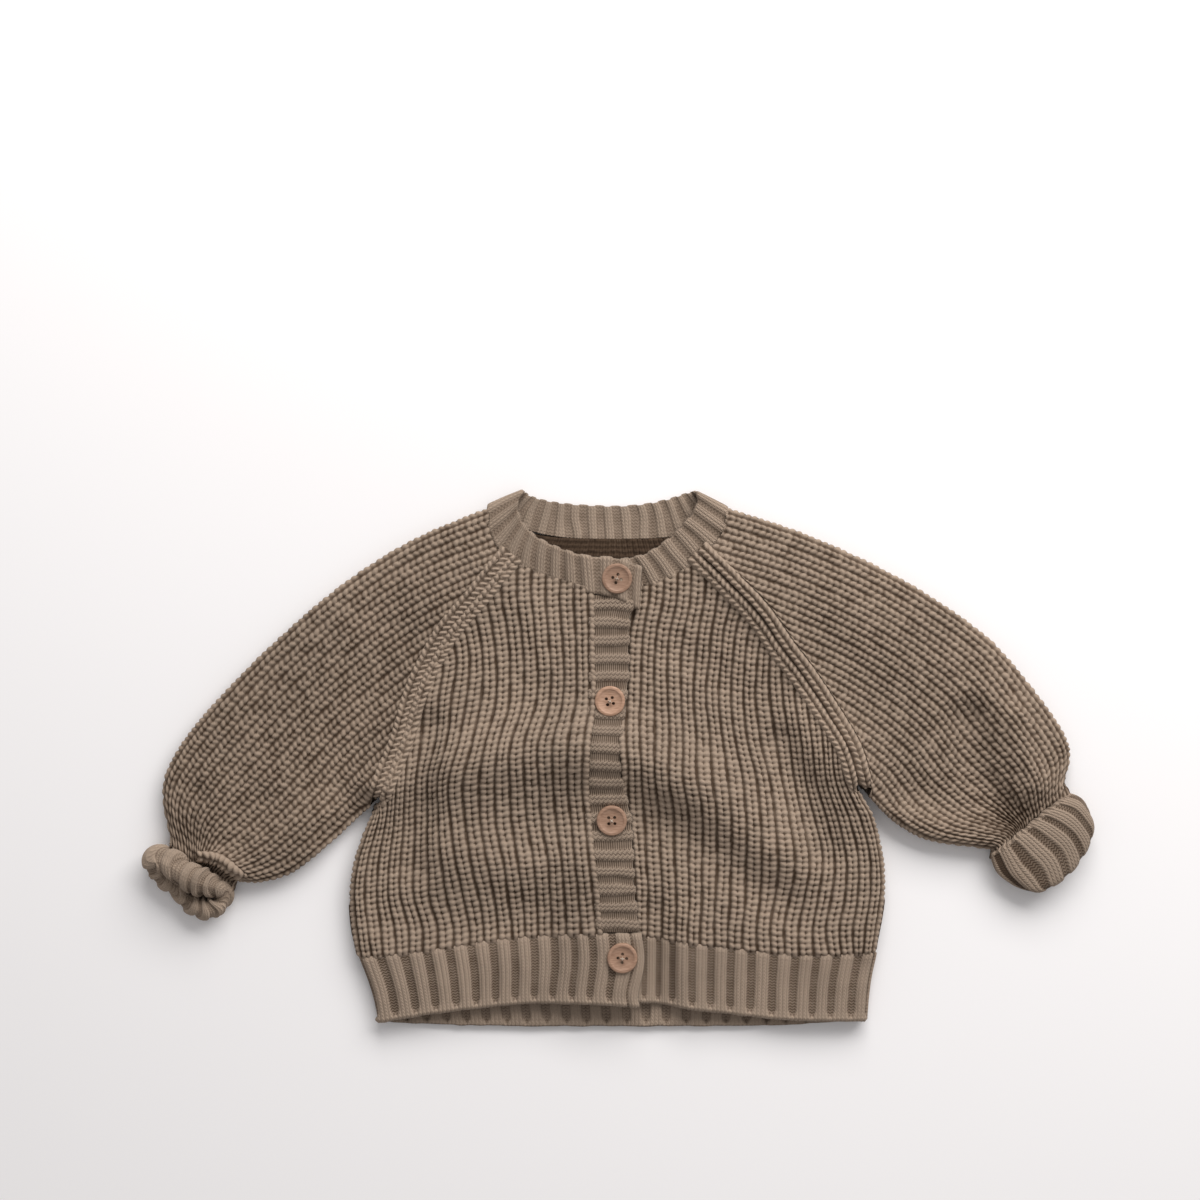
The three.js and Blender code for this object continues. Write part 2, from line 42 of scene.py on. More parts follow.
# ---- camera, surface and light -------------------------------------------------------------
def stage():
    scene = bpy.context.scene
    scene.view_settings.view_transform = "Standard"
    camera_data = bpy.data.cameras.new("camera")
    camera_data.lens = 65
    camera_data.sensor_width = 36
    camera = bpy.data.objects.new("camera", camera_data)
    camera.location = (-0.0114, 0.0954, 1.3065)
    scene.collection.objects.link(camera)
    scene.camera = camera

    bpy.ops.object.select_all(action="DESELECT")
    bpy.ops.mesh.primitive_plane_add(size=8, location=(0, 0, -0.0003))
    floor = bpy.context.active_object
    floor.name = "surface"
    floor.data.materials.append(surface_material())

    def lamp(name, place, aim, size, power, colour):
        data = bpy.data.lights.new(name, "AREA")
        data.shape = "RECTANGLE"
        data.size, data.size_y = size
        data.energy = power
        data.color = colour
        lit = bpy.data.objects.new(name, data)
        lit.location = place
        way = np.array(aim) - np.array(place)
        lit.rotation_euler = (math.atan2(math.hypot(way[0], way[1]), -way[2]), 0, math.atan2(-way[0], way[1]))
        scene.collection.objects.link(lit)

    lamp("window", (0.58, 1.42, 1.0), (0.0, 0.0, 0.0), (2.2, 1.0), 49, (1.0, 0.985, 0.97))
    world = bpy.data.worlds.new("room")
    world.use_nodes = True
    world.node_tree.nodes["Background"].inputs["Color"].default_value = (1.0, 0.985, 0.985, 1)
    world.node_tree.nodes["Background"].inputs["Strength"].default_value = 0.43
    scene.world = world


# ---- materials --------------------------------------------------------------------------------
class Nodes:
    """Small helper that wires a node material together."""

    def __init__(self, name):
        self.material = bpy.data.materials.new(name)
        self.material.use_nodes = True
        self.tree = self.material.node_tree
        self.shader = self.tree.nodes["Principled BSDF"]

    def add(self, kind, inputs=None, **settings):
        node = self.tree.nodes.new(kind)
        for key, value in settings.items():
            setattr(node, key, value)
        for key, value in (inputs or {}).items():
            self.feed(node.inputs[key], value)
        return node

    def feed(self, socket, value):
        if isinstance(value, bpy.types.NodeSocket):
            self.tree.links.new(value, socket)
        else:
            socket.default_value = value

    def math(self, operation, a, b=0.0):
        return self.add("ShaderNodeMath", {0: a, 1: b}, operation=operation).outputs[0]

    def noise(self, where, scale, detail=3.0):
        inputs = {"Vector": where, "Scale": scale, "Detail": detail}
        return self.add("ShaderNodeTexNoise", inputs).outputs["Fac"]

    def minus(self, a, b):
        return self.math("SUBTRACT", a, b)

    def plus(self, a, b):
        return self.math("ADD", a, b)

    def times(self, a, b):
        return self.math("MULTIPLY", a, b)

    def wave(self, turns):
        """How far a sine wave of this many half turns is from 0."""
        return self.math("ABSOLUTE", self.math("SINE", self.times(turns, math.pi)))

    def from_middle(self, value):
        """0 half way between whole numbers, 0.5 on them."""
        return self.math("ABSOLUTE", self.minus(self.math("FRACT", value), 0.5))

    def multiply(self, a, b):
        """One colour multiplied by another."""
        node = self.add("ShaderNodeMix", {0: 1.0, 6: a, 7: b}, data_type="RGBA", blend_type="MULTIPLY")
        return node.outputs[2]

    def ramp(self, value, stops):
        node = self.add("ShaderNodeValToRGB", {"Fac": value})
        ramp = node.color_ramp
        while len(ramp.elements) < len(stops):
            ramp.elements.new(0.5)
        for element, (place, colour) in zip(ramp.elements, stops):
            element.position = place
            element.color = (*colour, 1)
        return node.outputs["Color"]


def surface_material():
    n = Nodes("pale_surface")
    place = n.add("ShaderNodeTexCoord").outputs["Object"]
    tone = n.noise(place, 1.2, 1.0)
    shades = [(0.3, (0.885, 0.87, 0.875)), (0.7, (0.905, 0.89, 0.895))]
    n.feed(n.shader.inputs["Base Color"], n.ramp(tone, shades))
    n.shader.inputs["Roughness"].default_value = 0.9
    n.shader.inputs["Specular IOR Level"].default_value = 0.1
    return n.material


# The lit yarn colour, and the near-black colour of painted shade deep between the stitches.
YARN_LIGHT, YARN_PAINTED_SHADE = (0.318, 0.243, 0.185), (0.064, 0.040, 0.025)


def yarn_material(name, ply_depth, rib_stitches=False, zigzag=0.0, purl_depth=0.55):
    """Matt spun yarn: painted shade darkens it down between the stitches, as the hollow attribute says; its
    plies and stray fibres are bump.
    """
    n = Nodes(name)
    place = n.add("ShaderNodeTexCoord").outputs["Object"]
    hollow = n.add("ShaderNodeAttribute", attribute_name="hollow").outputs["Fac"]
    uv = n.add("ShaderNodeUVMap", uv_map="stitches").outputs["UV"]
    across, along, _ = n.add("ShaderNodeSeparateXYZ", {0: uv}).outputs
    fibre = n.noise(place, 1500, 3.0)
    mottle = n.noise(place, 170, 3.0)
    broad = n.noise(place, 14, 2.0)
    # depth: the painted shade from the hollow attribute, plus random mottling of the yarn's tone.
    depth = n.plus(hollow, n.times(n.minus(mottle, 0.5), 0.35))
    relief = n.times(fibre, 0.5)
    if rib_stitches:
        peak = n.from_middle(along)
        wale = n.plus(across, n.times(peak, 2 * zigzag))
        side = n.from_middle(wale)
        leg = n.minus(1.0, n.math("POWER", n.minus(1.0, n.times(side, 2.0)), 2.0))
        beat = n.wave(n.minus(along, n.times(side, 1.6)))
        stitch = n.times(leg, n.plus(0.35, n.times(beat, 0.65)))
        raised = n.add("ShaderNodeMapRange", {0: hollow, 1: 0.55, 2: 0.25, 3: 0.0, 4: 1.0}).outputs[0]
        purl = n.from_middle(across)
        rows = n.times(along, 2.0 if zigzag else 1.2)
        rows = n.plus(rows, n.times(purl, 0.0 if zigzag else 1.1))
        plain = n.plus(0.65 - 0.637 * purl_depth, n.times(n.wave(rows), purl_depth))
        stitch = n.add("ShaderNodeMix", {0: raised, 2: plain, 3: stitch}, data_type="FLOAT").outputs[0]
        relief = n.plus(n.times(stitch, 2.4), relief)
        strength = n.minus(0.95, n.times(raised, 0.0 if zigzag else 0.3))
        # Painted shade: darker between the wales and the purl bumps, less so on the raised ribs.
        depth = n.plus(depth, n.times(n.minus(0.6, stitch), strength))
    else:
        turns = n.plus(n.times(along, 3.0), n.times(across, 5.0))
        twist = n.math("SINE", n.times(turns, 2 * math.pi))
        relief = n.plus(relief, n.times(twist, 0.12))
    mixed = lambda part: tuple(part * a + (1 - part) * b for a, b in zip(YARN_LIGHT, YARN_PAINTED_SHADE))
    # Painted shade: the colour runs from the lit yarn colour to near black as depth grows.
    tone = n.ramp(depth, [(0.05, YARN_LIGHT), (0.35, mixed(0.82)), (0.62, mixed(0.42)), (1.0, YARN_PAINTED_SHADE)])
    patch = n.ramp(broad, [(0.3, (0.93, 0.93, 0.93)), (0.7, (1.06, 1.055, 1.05))])
    fluff = n.ramp(fibre, [(0.25, (0.9, 0.9, 0.9)), (0.75, (1.1, 1.1, 1.1))])
    n.feed(n.shader.inputs["Base Color"], n.multiply(n.multiply(tone, patch), fluff))
    bump = n.add("ShaderNodeBump", {"Height": relief, "Strength": 0.7, "Distance": ply_depth * MM})
    n.feed(n.shader.inputs["Normal"], bump.outputs[0])
    n.shader.inputs["Roughness"].default_value = 0.95
    n.shader.inputs["Specular IOR Level"].default_value = 0.15
    n.shader.inputs["Sheen Weight"].default_value = 0.12
    n.shader.inputs["Sheen Roughness"].default_value = 0.5
    n.shader.inputs["Sheen Tint"].default_value = (0.9, 0.8, 0.7, 1)
    return n.material


# ---- lines, tables and noise --------------------------------------------------------------------
def curve(a, b, c, d, k):
    """Points at shares k of a smooth curve from b to c, with a before it and d after it."""
    square, cube = 2 * a - 5 * b + 4 * c - d, 3 * b - a - 3 * c + d
    return 0.5 * (2 * b + (c - a) * k + square * k ** 2 + cube * k ** 3)


def distance(line):
    """How far along a line each of its points lies."""
    return np.r_[0, np.cumsum(np.linalg.norm(np.diff(line, axis=0), axis=1))]


def unit(vectors, least=0.0):
    return vectors / (np.linalg.norm(vectors, axis=-1, keepdims=True) + least)


def along(rows, share):
    """Points at shares of the length of a smooth line through rows."""
    p = np.asarray(rows, float)
    q = np.vstack([2 * p[0] - p[1], p, 2 * p[-1] - p[-2]])
    k = np.linspace(0, 1, 24, endpoint=False)[:, None]
    pieces = [curve(a, b, c, d, k) for a, b, c, d in zip(q, q[1:], q[2:], q[3:])]
    line = np.vstack(pieces + [p[-1:]])
    reach = distance(line)
    at = np.clip(share, 0, 1) * reach[-1]
    return np.stack([np.interp(at, reach, line[:, i]) for i in range(p.shape[1])], -1)


def length_of(rows):
    line = along(rows, np.linspace(0, 1, 200))
    return np.linalg.norm(np.diff(line, axis=0), axis=1).sum()


def smooth(knots, values, x):
    """Smooth interpolation at x; values has one row per knot, each a number or an array like x."""
    knots = np.asarray(knots, float)
    values = np.asarray(values, float)
    if values.ndim == 1:
        values = np.broadcast_to(values[:, None], (len(knots), np.size(x))).reshape(len(knots), *np.shape(x))
    slope = np.gradient(values, knots, axis=0)
    i = np.clip(np.searchsorted(knots, x, side="right") - 1, 0, len(knots) - 2)
    span = knots[i + 1] - knots[i]
    t = np.clip((x - knots[i]) / span, -0.5, 1.5)
    pick = lambda table, k: np.take_along_axis(table, k[None], 0)[0]
    a, b, m, n = pick(values, i), pick(values, i + 1), pick(slope, i) * span, pick(slope, i + 1) * span
    start = (2 * t ** 3 - 3 * t ** 2 + 1) * a + (t ** 3 - 2 * t ** 2 + t) * m
    return start + (3 * t ** 2 - 2 * t ** 3) * b + (t ** 3 - t ** 2) * n


def scatter(i, j, seed):
    """A repeatable random number in 0..1 for each pair of whole numbers."""
    v = np.sin(i * 127.1 + j * 311.7 + seed * 74.7) * 43758.5453
    return v - np.floor(v)


def drift(x, y, seed):
    """Soft noise of unit grain, -1..1."""
    i, j = np.floor(x), np.floor(y)
    u, v = x - i, y - j
    u, v = u * u * (3 - 2 * u), v * v * (3 - 2 * v)
    low = scatter(i, j, seed) * (1 - u) + scatter(i + 1, j, seed) * u
    high = scatter(i, j + 1, seed) * (1 - u) + scatter(i + 1, j + 1, seed) * u
    return 2 * (low * (1 - v) + high * v) - 1


def ease(x, low, high):
    t = np.clip((x - low) / (high - low), 0, 1)
    return t * t * (3 - 2 * t)


# ---- the laid garment's outline, the same as the solids', rows of x, y in mm --------------------
HALF = 5.0     # half the laid height of two cloths
ROUND = 6.5    # how far in from a folded edge the cloth reaches its full height
RIB = 2.8      # thickness of the ribbing
DROP = 0.6     # how much lower the ribbing lies than the knit beside it
OVER = 3.6     # how much higher the buttonhole side lies over the button side
STITCH = 3.45  # height of one stitch of the fronts and the back
SLEEVE_STITCH, CHAIN_STITCH = 3.75, 3.8  # the same of the sleeves and of the chains along the raglans
DEEP = 2.5     # depth of the grooves between the columns of stitches
LEVEL = 1.6    # the height in the ribbing's relief that lies level with its face
MERGE = 0.02   # points nearer to each other than this are one

RIGHT = dict(
    shoulder=[
        (-79, 152), (-126, 132), (-168, 105), (-210, 69), (-245, 33), (-266, 6), (-275, -18), (-270, -49),
    ],
    underarm=[(-145, -26), (-169, -48), (-193, -68), (-214, -75), (-229, -74)],
    side=[(-145, -26), (-154, -43), (-162, -72), (-162, -97), (-158, -118), (-150, -140), (-146, -158)],
    raglan=[(-69, 117), (-86, 96), (-102, 77), (-115, 55), (-123, 36), (-129, 15), (-137, -5), (-145, -26)],
    head=[(-79, 152), (-80, 143), (-79, 134), (-75, 126), (-69, 117)],
    back_head=[(-79, 152), (-74, 147), (-68, 142), (-62, 138)],
    back_raglan=[
        (-62, 138), (-82, 110), (-100, 82), (-113, 57), (-122, 36), (-129, 15), (-137, -5), (-145, -26),
    ],
)
LEFT = dict(
    shoulder=[(65, 152), (118, 134), (174, 107), (222, 74), (251, 41), (268, 16), (272, 3), (268, -13)],
    underarm=[(145, -19), (163, -38), (182, -49), (203, -53), (223, -55)],
    side=[(145, -19), (154, -35), (160, -62), (160, -86), (155, -115), (151, -135), (149, -157)],
    raglan=[(51, 120), (67, 104), (83, 87), (97, 67), (110, 50), (124, 29), (137, 7), (145, -19)],
    head=[(65, 152), (66, 144), (64, 135), (58, 127), (51, 120)],
    back_head=[(65, 152), (61, 147), (57, 142), (52, 138)],
    back_raglan=[(52, 138), (70, 112), (85, 88), (98, 68), (110, 50), (124, 29), (137, 7), (145, -19)],
)
NECK_RIGHT = [(-17, 101), (-29, 104), (-45, 109), (-58, 114), (-69, 117)]
NECK_LEFT = [(11, 102), (19, 104), (30, 108), (41, 113), (51, 120)]
NECK_BACK = [(-62, 138), (-41, 134), (-17, 133), (12, 133), (32, 134), (52, 138)]
HEM_SEAM_RIGHT = [(-13, -103), (-52, -105), (-80, -108), (-118, -114), (-158, -118)]
HEM_SEAM_LEFT = [(13, -105), (35, -108), (59, -111), (106, -116), (155, -115)]

# Where the columns of stitches run: rows of y, then how far out from the middle the numbered
# grooves between them lie.
RUN_RIGHT = (0, 3, 6, 9, 12, 15, 17.5), [
    (-118, 13.8, 40, 64, 90, 117.5, 141, 158), (-102, 14.2, 40.4, 64.5, 90, 118, 142.5, 161.3),
    (-84, 15.6, 41.2, 66.3, 93.3, 123.3, 145, 162.6), (-60, 18.2, 42.8, 69.6, 98, 123.8, 143.5, 160.3),
    (-36, 20.4, 46.6, 74, 100.8, 122.5, 139, 150.5), (-12, 22, 48.2, 74.4, 101.6, 121, 137, 146),
    (11, 21.5, 48.4, 72, 95.7, 118.2, 140, 152), (35, 18, 41.8, 65.6, 91.6, 116, 140, 155),
    (59, 18, 40.9, 65.6, 89.6, 113, 137, 153), (77, 18.2, 42.4, 67.4, 91.5, 115, 139, 155),
    (95, 19, 43.9, 70, 94, 118, 142, 158), (122, 18, 43, 69, 94, 118, 142, 158),
]
RUN_LEFT = (0, 3, 6, 9, 12, 15, 18.5), [
    (-119, 9.5, 33.5, 57, 83, 108, 134, 154), (-102, 9.4, 33.4, 56.8, 82.4, 107.5, 132, 158),
    (-84, 9.8, 34, 57.8, 84.8, 110.7, 135, 160.2), (-60, 8.2, 33.2, 58.8, 85, 114.6, 136, 159.8),
    (-36, 6.3, 32.8, 58, 84.9, 110.6, 131, 154), (-12, 5.6, 29.1, 56, 82.8, 105.4, 123, 143),
    (11, 4, 30, 54.4, 77.4, 101.7, 121, 140), (35, 4.5, 29.1, 52.5, 74.4, 98, 119, 140),
    (59, 5.5, 29.1, 53.6, 75, 97, 119, 140), (77, 6.7, 30.6, 55.2, 77.5, 99, 121, 142),
    (95, 9.5, 34.4, 58.5, 82, 105, 128, 150), (124, 10, 35, 60, 84, 108, 131, 153),
]
# Lines across each sleeve: x, y on the shoulder fold and x, y on the far side, and its columns.
ACROSS_RIGHT = 14, [
    (-52, 161, -14, 56), (-79, 152, -33, 50), (-126, 132, -73, 33), (-168, 105, -102, 14),
    (-210, 69, -137, -15),
    (-245, 33, -161, -41), (-266, 6, -190, -65.5), (-275, -18, -213, -74.8), (-270, -49, -229, -74),
    (-270, -55, -231, -79), (-268, -62, -237, -85),
]
ACROSS_LEFT = 15, [
    (36, 160, 4, 48), (65, 152, 28, 41), (118, 134, 73, 26), (174, 107, 115, 6), (222, 74, 146, -18),
    (251, 41, 164, -38.7), (268, 16, 184, -49.4), (272, 3, 203, -53), (269, -13, 222, -55),
    (271, -22, 223, -61),
]

# Rounded ridges, or troughs where the rise is negative: width, rise and the line each follows.
FOLDS = [
    (21, 9.0, [(-101, -3), (-70, 2), (-25, 5), (6, 2), (30, -8)]),
    (20, 5.5, [(52, -22), (76, -40), (97, -57)]),
    (17, 4.0, [(-100, -58), (-60, -62), (-20, -62)]),
    (11, -6.5, [(-113, 18), (-118, -8), (-122, -36), (-124, -62)]),
    (14, -4.2, [(22, -34), (60, -58), (100, -86)]),
    (10, -2.5, [(88, 40), (94, 20)]), (11, -6.0, [(98, 10), (110, -18), (124, -54)]),
    (17, 4.0, [(-80, 112), (-100, 82), (-116, 48), (-128, 10), (-140, -22)]),
    (12, 3.2, [(60, 119), (88, 89), (112, 56), (132, 21), (147, -13)]),
    (7, 2.2, [(-150, -38), (-156, -70), (-152, -108)]), (8, 1.8, [(152, -30), (156, -70), (150, -112)]),
    (8, -5.0, [(-152, -26), (-160, -36), (-170, -46)]), (7, -3.0, [(148, -14), (158, -26)]),
    (11, -7.0, [(211, 24), (214, -4), (221, -22), (234, -34)]),
    (6, -3.5, [(219, -12), (237, -35)]),
    (11, 5.5, [(238, 26), (242, 5), (249, -14)]), (20, 5.0, [(104, 16), (126, 4), (148, -10)]),
    (18, 3.0, [(-22, 6), (20, 2), (46, -8)]), (14, 4.5, [(-148, -18), (-130, -16)]),
    (9, 3.4, [(158, -30), (190, -41), (212, -46), (224, -46)]),
    (12, -2.5, [(150, -4), (186, -22), (208, -28)]),
    (24, 3.0, [(90, 108), (160, 76), (220, 30)]),
    (20, -4.0, [(-134, 70), (-156, 20), (-168, -10)]), (12, 3.0, [(-182, -34), (-222, -60)]),
    (18, 3.5, [(-228, 30), (-250, -28)]), (24, 2.6, [(-120, 104), (-200, 44)]),
    (8, -2.6, [(-214, -24), (-238, -56)]),
    (7, -2.4, [(-252, -20), (-260, -48)]), (5, 3.5, [(-250, -55), (-240, -56), (-228, -64)]),
    (4, -3.5, [(-246, -64), (-232, -71)]),
    (9, -4.0, [(21, -92), (25, -122), (26, -154)]), (9, 2.2, [(40, -96), (42, -150)]),
    (16, -3.0, [(-134, -94), (-90, -98), (-44, -98)]), (12, -2.2, [(40, 64), (70, 40), (90, 10)]),
    (12, 2.4, [(-50, 92), (-45, 60)]),
]


def fold_rise(x, y):
    rise = np.zeros_like(x)
    for width, high, line in FOLDS:
        away = np.full_like(x, 1e9)
        for start, end in zip(line, line[1:]):
            ox, oy, _, _ = off_segment(x, y, start, end)
            away = np.minimum(away, ox ** 2 + oy ** 2)
        rise += high * np.exp(-away / width ** 2)
    rise = np.where(rise < 0, 7 * np.tanh(rise / 7), rise)
    return rise + 0.5 * drift(x / 17, y / 23, 5) + 0.25 * drift(x / 7, y / 9, 6)


def off_segment(x, y, start, end):
    """From the nearest point of a segment to each point, and the segment's own run."""
    (ax, ay), (bx, by) = start, end
    dx, dy = bx - ax, by - ay
    t = np.clip(((x - ax) * dx + (y - ay) * dy) / (dx * dx + dy * dy), 0, 1)
    return x - ax - t * dx, y - ay - t * dy, dx, dy


def folded_edges(*names):
    """The outline's folded edges, each with the side of it on which the cloth lies."""
    sides = {"shoulder": 1, "underarm": -1, "side": 1}
    shares = np.linspace(0, 1, 30)
    return [(along(cut[name], shares), sides[name] * (1 if cut is RIGHT else -1)) for cut, name in names]


def edge_depth(x, y, edges):
    """How far in from the nearest folded edge each point is, and the way in."""
    best = np.full(x.shape, 1e9)
    depth = np.full(x.shape, 1e9)
    ix, iy = np.zeros(x.shape), np.zeros(x.shape)
    for line, side in edges:
        for start, end in zip(line, line[1:]):
            ox, oy, dx, dy = off_segment(x, y, start, end)
            size = math.hypot(dx, dy)
            away = np.hypot(ox, oy)
            sx, sy = -dy / size * side, dx / size * side
            outside = ((ox * sx + oy * sy < 0) & (away < 3)) | (away < 0.25)
            near = away < best
            best = np.where(near, away, best)
            depth = np.where(near, np.where(outside, 0, away), depth)
            ix = np.where(near, np.where(outside, sx, ox / (away + 1e-9)), ix)
            iy = np.where(near, np.where(outside, sy, oy / (away + 1e-9)), iy)
    return depth, ix, iy


def lie(x, y, edges, under=False, raise_by=0.0, drop=0.0):
    """Height and outward normal of the laid cloth's face over, or under, each point."""
    depth, ix, iy = edge_depth(x, y, edges)
    level = np.clip(depth / ROUND, 0, 1)
    lift = np.sqrt(1 - (1 - level) ** 2)
    lean = (1 - level) * HALF / ROUND
    if under:
        z = HALF * (1 - lift)
        normal = np.stack([-ix * lean, -iy * lean, -lift], -1)
    else:
        rise = fold_rise(x, y)
        step = 0.6
        gx = (fold_rise(x + step, y) - rise) / step
        gy = (fold_rise(x, y + step) - rise) / step
        over = raise_by(x, y) if callable(raise_by) else raise_by
        z = HALF * (1 + lift) + rise * lift + over - drop * lift
        normal = np.stack([-ix * lean - gx * lift, -iy * lean - gy * lift, lift], -1)
    return z, unit(normal, 1e-9)


# ---- stitches --------------------------------------------------------------------------------
# How slanted the stitches of the fronts, of the sleeves and of the chains along the raglans are,
# and for each of these, in mm unless it says otherwise:
SLANTS = 0.4, 0.68, 0.9
CHUNKY = (
    (32, 37, 46),        # the beads' lean in degrees
    (2.1, 2.35, 2.3),    # half their length
    (1.75, 1.52, 1.12),  # half their width
    (1.7, 1.9, 2.0),     # how far they lie from the column's middle
    (1.4, 1.35, 1.6),    # their height
    (0.0, 0.35, 0.35),   # the height of the grooves
    (0.8, 0.6, 0.7),     # the depth of the pits
)
COLUMN = 4.05    # from a column's middle to the groove beside it
RELIEF = 0.85    # share of the stitches' height that the laid cloth keeps
PRESSED = 0.28   # how much of that share is lost where the cloth is pressed on the surface


def chunky(column, course, seed=0, slant=0.0, tip=0.0):
    """Height over the groove of the plump V stitches of the half-cardigan rib, in mm."""
    i = np.floor(column)
    leg = np.floor(2 * column)
    out = np.abs(2 * (column - i) - 1) * COLUMN + 0.25 * drift(column * 2.2, course * 0.6, seed + 4)
    course = course + 0.1 * drift(column * 0.9, course * 0.35, seed + 1) + 0.12 * scatter(i, i, seed)
    lean, long, short, centre, crown, groove, pit = (np.interp(slant, SLANTS, row) for row in CHUNKY)
    lean, long, short = np.radians(lean + 15 * tip), long + 0.4 * tip, short - 0.3 * tip
    cos, sin = np.cos(lean), np.sin(lean)
    bead = np.zeros(np.shape(course))
    for k in (-1, 0, 1):
        j = np.floor(course) + k
        dx = out - centre - 0.3 * (scatter(leg, j, seed + 5) - 0.5)
        dy = (course - j - 0.5) * STITCH - 0.5 * (scatter(leg, j, seed + 6) - 0.5)
        u, v = dx * cos + dy * sin, dy * cos - dx * sin
        plump = 1 + 0.3 * (scatter(leg, j, seed + 2) - 0.5)
        bead = np.maximum(bead, np.clip(plump - (u / long) ** 2 - (v / short) ** 2, 0, 1) ** 0.65)
    base = 0.95 - (0.95 - groove) * ease(out, 2.85, 3.75)
    hole = np.exp(-(out / 0.95) ** 2) * (1 - bead) ** 2 * (1 - tip)
    return np.maximum(base + crown * bead - pit * hole, 0)


def ribs(across, course, raised=0.6, seed=0, deep=1.15):
    """Height of the finer ribbing: flat raised bands and recessed ones between, in mm."""
    i = np.floor(across)
    f = np.abs(across - i - 0.5) * 2
    band = 1 - ease(f, raised - 0.09, raised + 0.09)
    crown = 0.3 * np.clip(1 - (f / np.maximum(raised, 0.05)) ** 2, 0, 1)
    return band * deep + crown + 0.1 * drift(across * 1.3, course * 0.2, seed)


# ---- meshes ----------------------------------------------------------------------------------
def only(piece):
    bpy.ops.object.select_all(action="DESELECT")
    piece.select_set(True)
    bpy.context.view_layer.objects.active = piece


class Cloth:
    """One cloth piece, gathered from grids of points."""

    def __init__(self):
        self.points, self.uvs, self.hollows = [], [], []
        self.quads, self.tris = [], []
        self.count = 0

    def grid(self, points, uv, hollow, flip=False, around=False):
        rows, cols = points.shape[:2]
        base = self.count
        ids = base + np.arange(rows * cols).reshape(rows, cols)
        if around:
            ids = np.hstack([ids, ids[:, :1]])
        a, b, c, d = ids[:-1, :-1].ravel(), ids[:-1, 1:].ravel(), ids[1:, 1:].ravel(), ids[1:, :-1].ravel()
        flat = points.reshape(-1, 3)
        same = lambda p, q: np.linalg.norm(flat[p - base] - flat[q - base], axis=1) < 1e-4
        left, right = same(a, d), same(b, c)
        faces = np.stack([a, b, c, d], 1)
        quads = faces[~left & ~right]
        tris = np.vstack([faces[left & ~right][:, [0, 1, 2]], faces[right & ~left][:, [0, 1, 3]]])
        if flip:
            quads, tris = quads[:, ::-1], tris[:, ::-1]
        self.quads.append(quads)
        self.tris.append(tris)
        self.points.append(flat)
        self.uvs.append(np.broadcast_to(uv, (rows, cols, 2)).reshape(-1, 2))
        self.hollows.append(np.broadcast_to(hollow, (rows, cols)).ravel())
        self.count += rows * cols
        return ids

    def make(self, name, node, slot, material):
        points = np.vstack(self.points) * MM
        points[:, 2] = np.maximum(points[:, 2], 0)
        quads = np.vstack(self.quads)
        tris = np.vstack(self.tris)
        loops = np.concatenate([quads.ravel(), tris.ravel()]).astype(np.int32)
        starts = np.concatenate([np.arange(len(quads)) * 4, 4 * len(quads) + np.arange(len(tris)) * 3])
        mesh = bpy.data.meshes.new(name)
        mesh.vertices.add(len(points))
        mesh.vertices.foreach_set("co", points.astype(np.float32).ravel())
        mesh.loops.add(len(loops))
        mesh.loops.foreach_set("vertex_index", loops)
        mesh.polygons.add(len(starts))
        mesh.polygons.foreach_set("loop_start", starts.astype(np.int32))
        mesh.polygons.foreach_set("use_smooth", np.ones(len(starts), bool))
        mesh.update(calc_edges=True)
        layer = mesh.uv_layers.new(name="stitches")
        layer.data.foreach_set("uv", np.vstack(self.uvs)[loops].astype(np.float32).ravel())
        # The hollow attribute is each point's painted shade, with some random tone mixed in; the yarn
        # materials darken by it.
        hollow = mesh.attributes.new("hollow", "FLOAT", "POINT")
        hollow.data.foreach_set("value", np.concatenate(self.hollows).astype(np.float32))
        piece = bpy.data.objects.new(name, mesh)
        bpy.context.scene.collection.objects.link(piece)
        piece.data.materials.append(material)
        only(piece)
        bpy.ops.object.mode_set(mode="EDIT")
        bpy.ops.mesh.select_all(action="SELECT")
        bpy.ops.mesh.remove_doubles(threshold=MERGE * MM)
        bpy.ops.object.mode_set(mode="OBJECT")
        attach(piece, "root")
        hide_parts(node)
        return piece


def reach_edge(x, y, column, edges, ends):
    """Moves the end columns out to the folded edge, where the upper and the lower cloth meet."""
    for end in ends:
        depth, ix, iy = edge_depth(x[:, end], y[:, end], edges)
        far = depth * ease(7 - depth, 0, 3)
        share = np.clip(1.2 - np.abs(column - column[:, end:][:, :1]), 0, 1)
        x, y = x - share * (ix * far)[:, None], y - share * (iy * far)[:, None]
    return x, y


def knit_grid(cloth, column, course, place, edges, way, under=False, raise_by=0.0, seed=0, slant=0.0,
              tip=0.0, shade=0.0, ends=(0, -1)):
    """Adds a field of chunky stitches: place(column, course) gives x and y of every stitch point."""
    x, y = reach_edge(*place(column, course), column, edges, ends)
    z, normal = lie(x, y, edges, under, raise_by)
    high = chunky(column, course, seed, slant, tip)
    tuck = 3.0 * ease(-course, 0.0, 0.8)
    relief = RELIEF - PRESSED * np.clip(1 - z / HALF, 0, 1) if under else RELIEF
    points = np.stack([x, y, z], -1) + normal * (relief * (high - DEEP) - tuck)[..., None]
    uv = np.stack([column, course], -1)
    # Painted shade: darker the lower a point lies under the stitch tops, and by shade; the leaning tips are
    # painted lighter; the scatter is the stitches' random tone.
    tone = 0.24 * (scatter(np.floor(2 * column), np.floor(course), seed + 9) - 0.5) + shade - 0.1 * tip
    cloth.grid(points, uv, 1 - high / DEEP + tone, flip=(way < 0) != under)


def column_steps(first, last, per_column):
    return np.linspace(first, last, int(round((last - first) * per_column)) + 1)


# ---- fronts -------------------------------------------------------------------------------------------
def run_of_columns(table, way):
    knots, rows = table
    ys = [row[0] for row in rows]
    outs = np.array([row[1:] for row in rows])

    def place(column, y):
        at_knots = np.stack([smooth(ys, outs[:, k], y) for k in range(outs.shape[1])])
        return way * smooth(knots, at_knots, column)
    return place


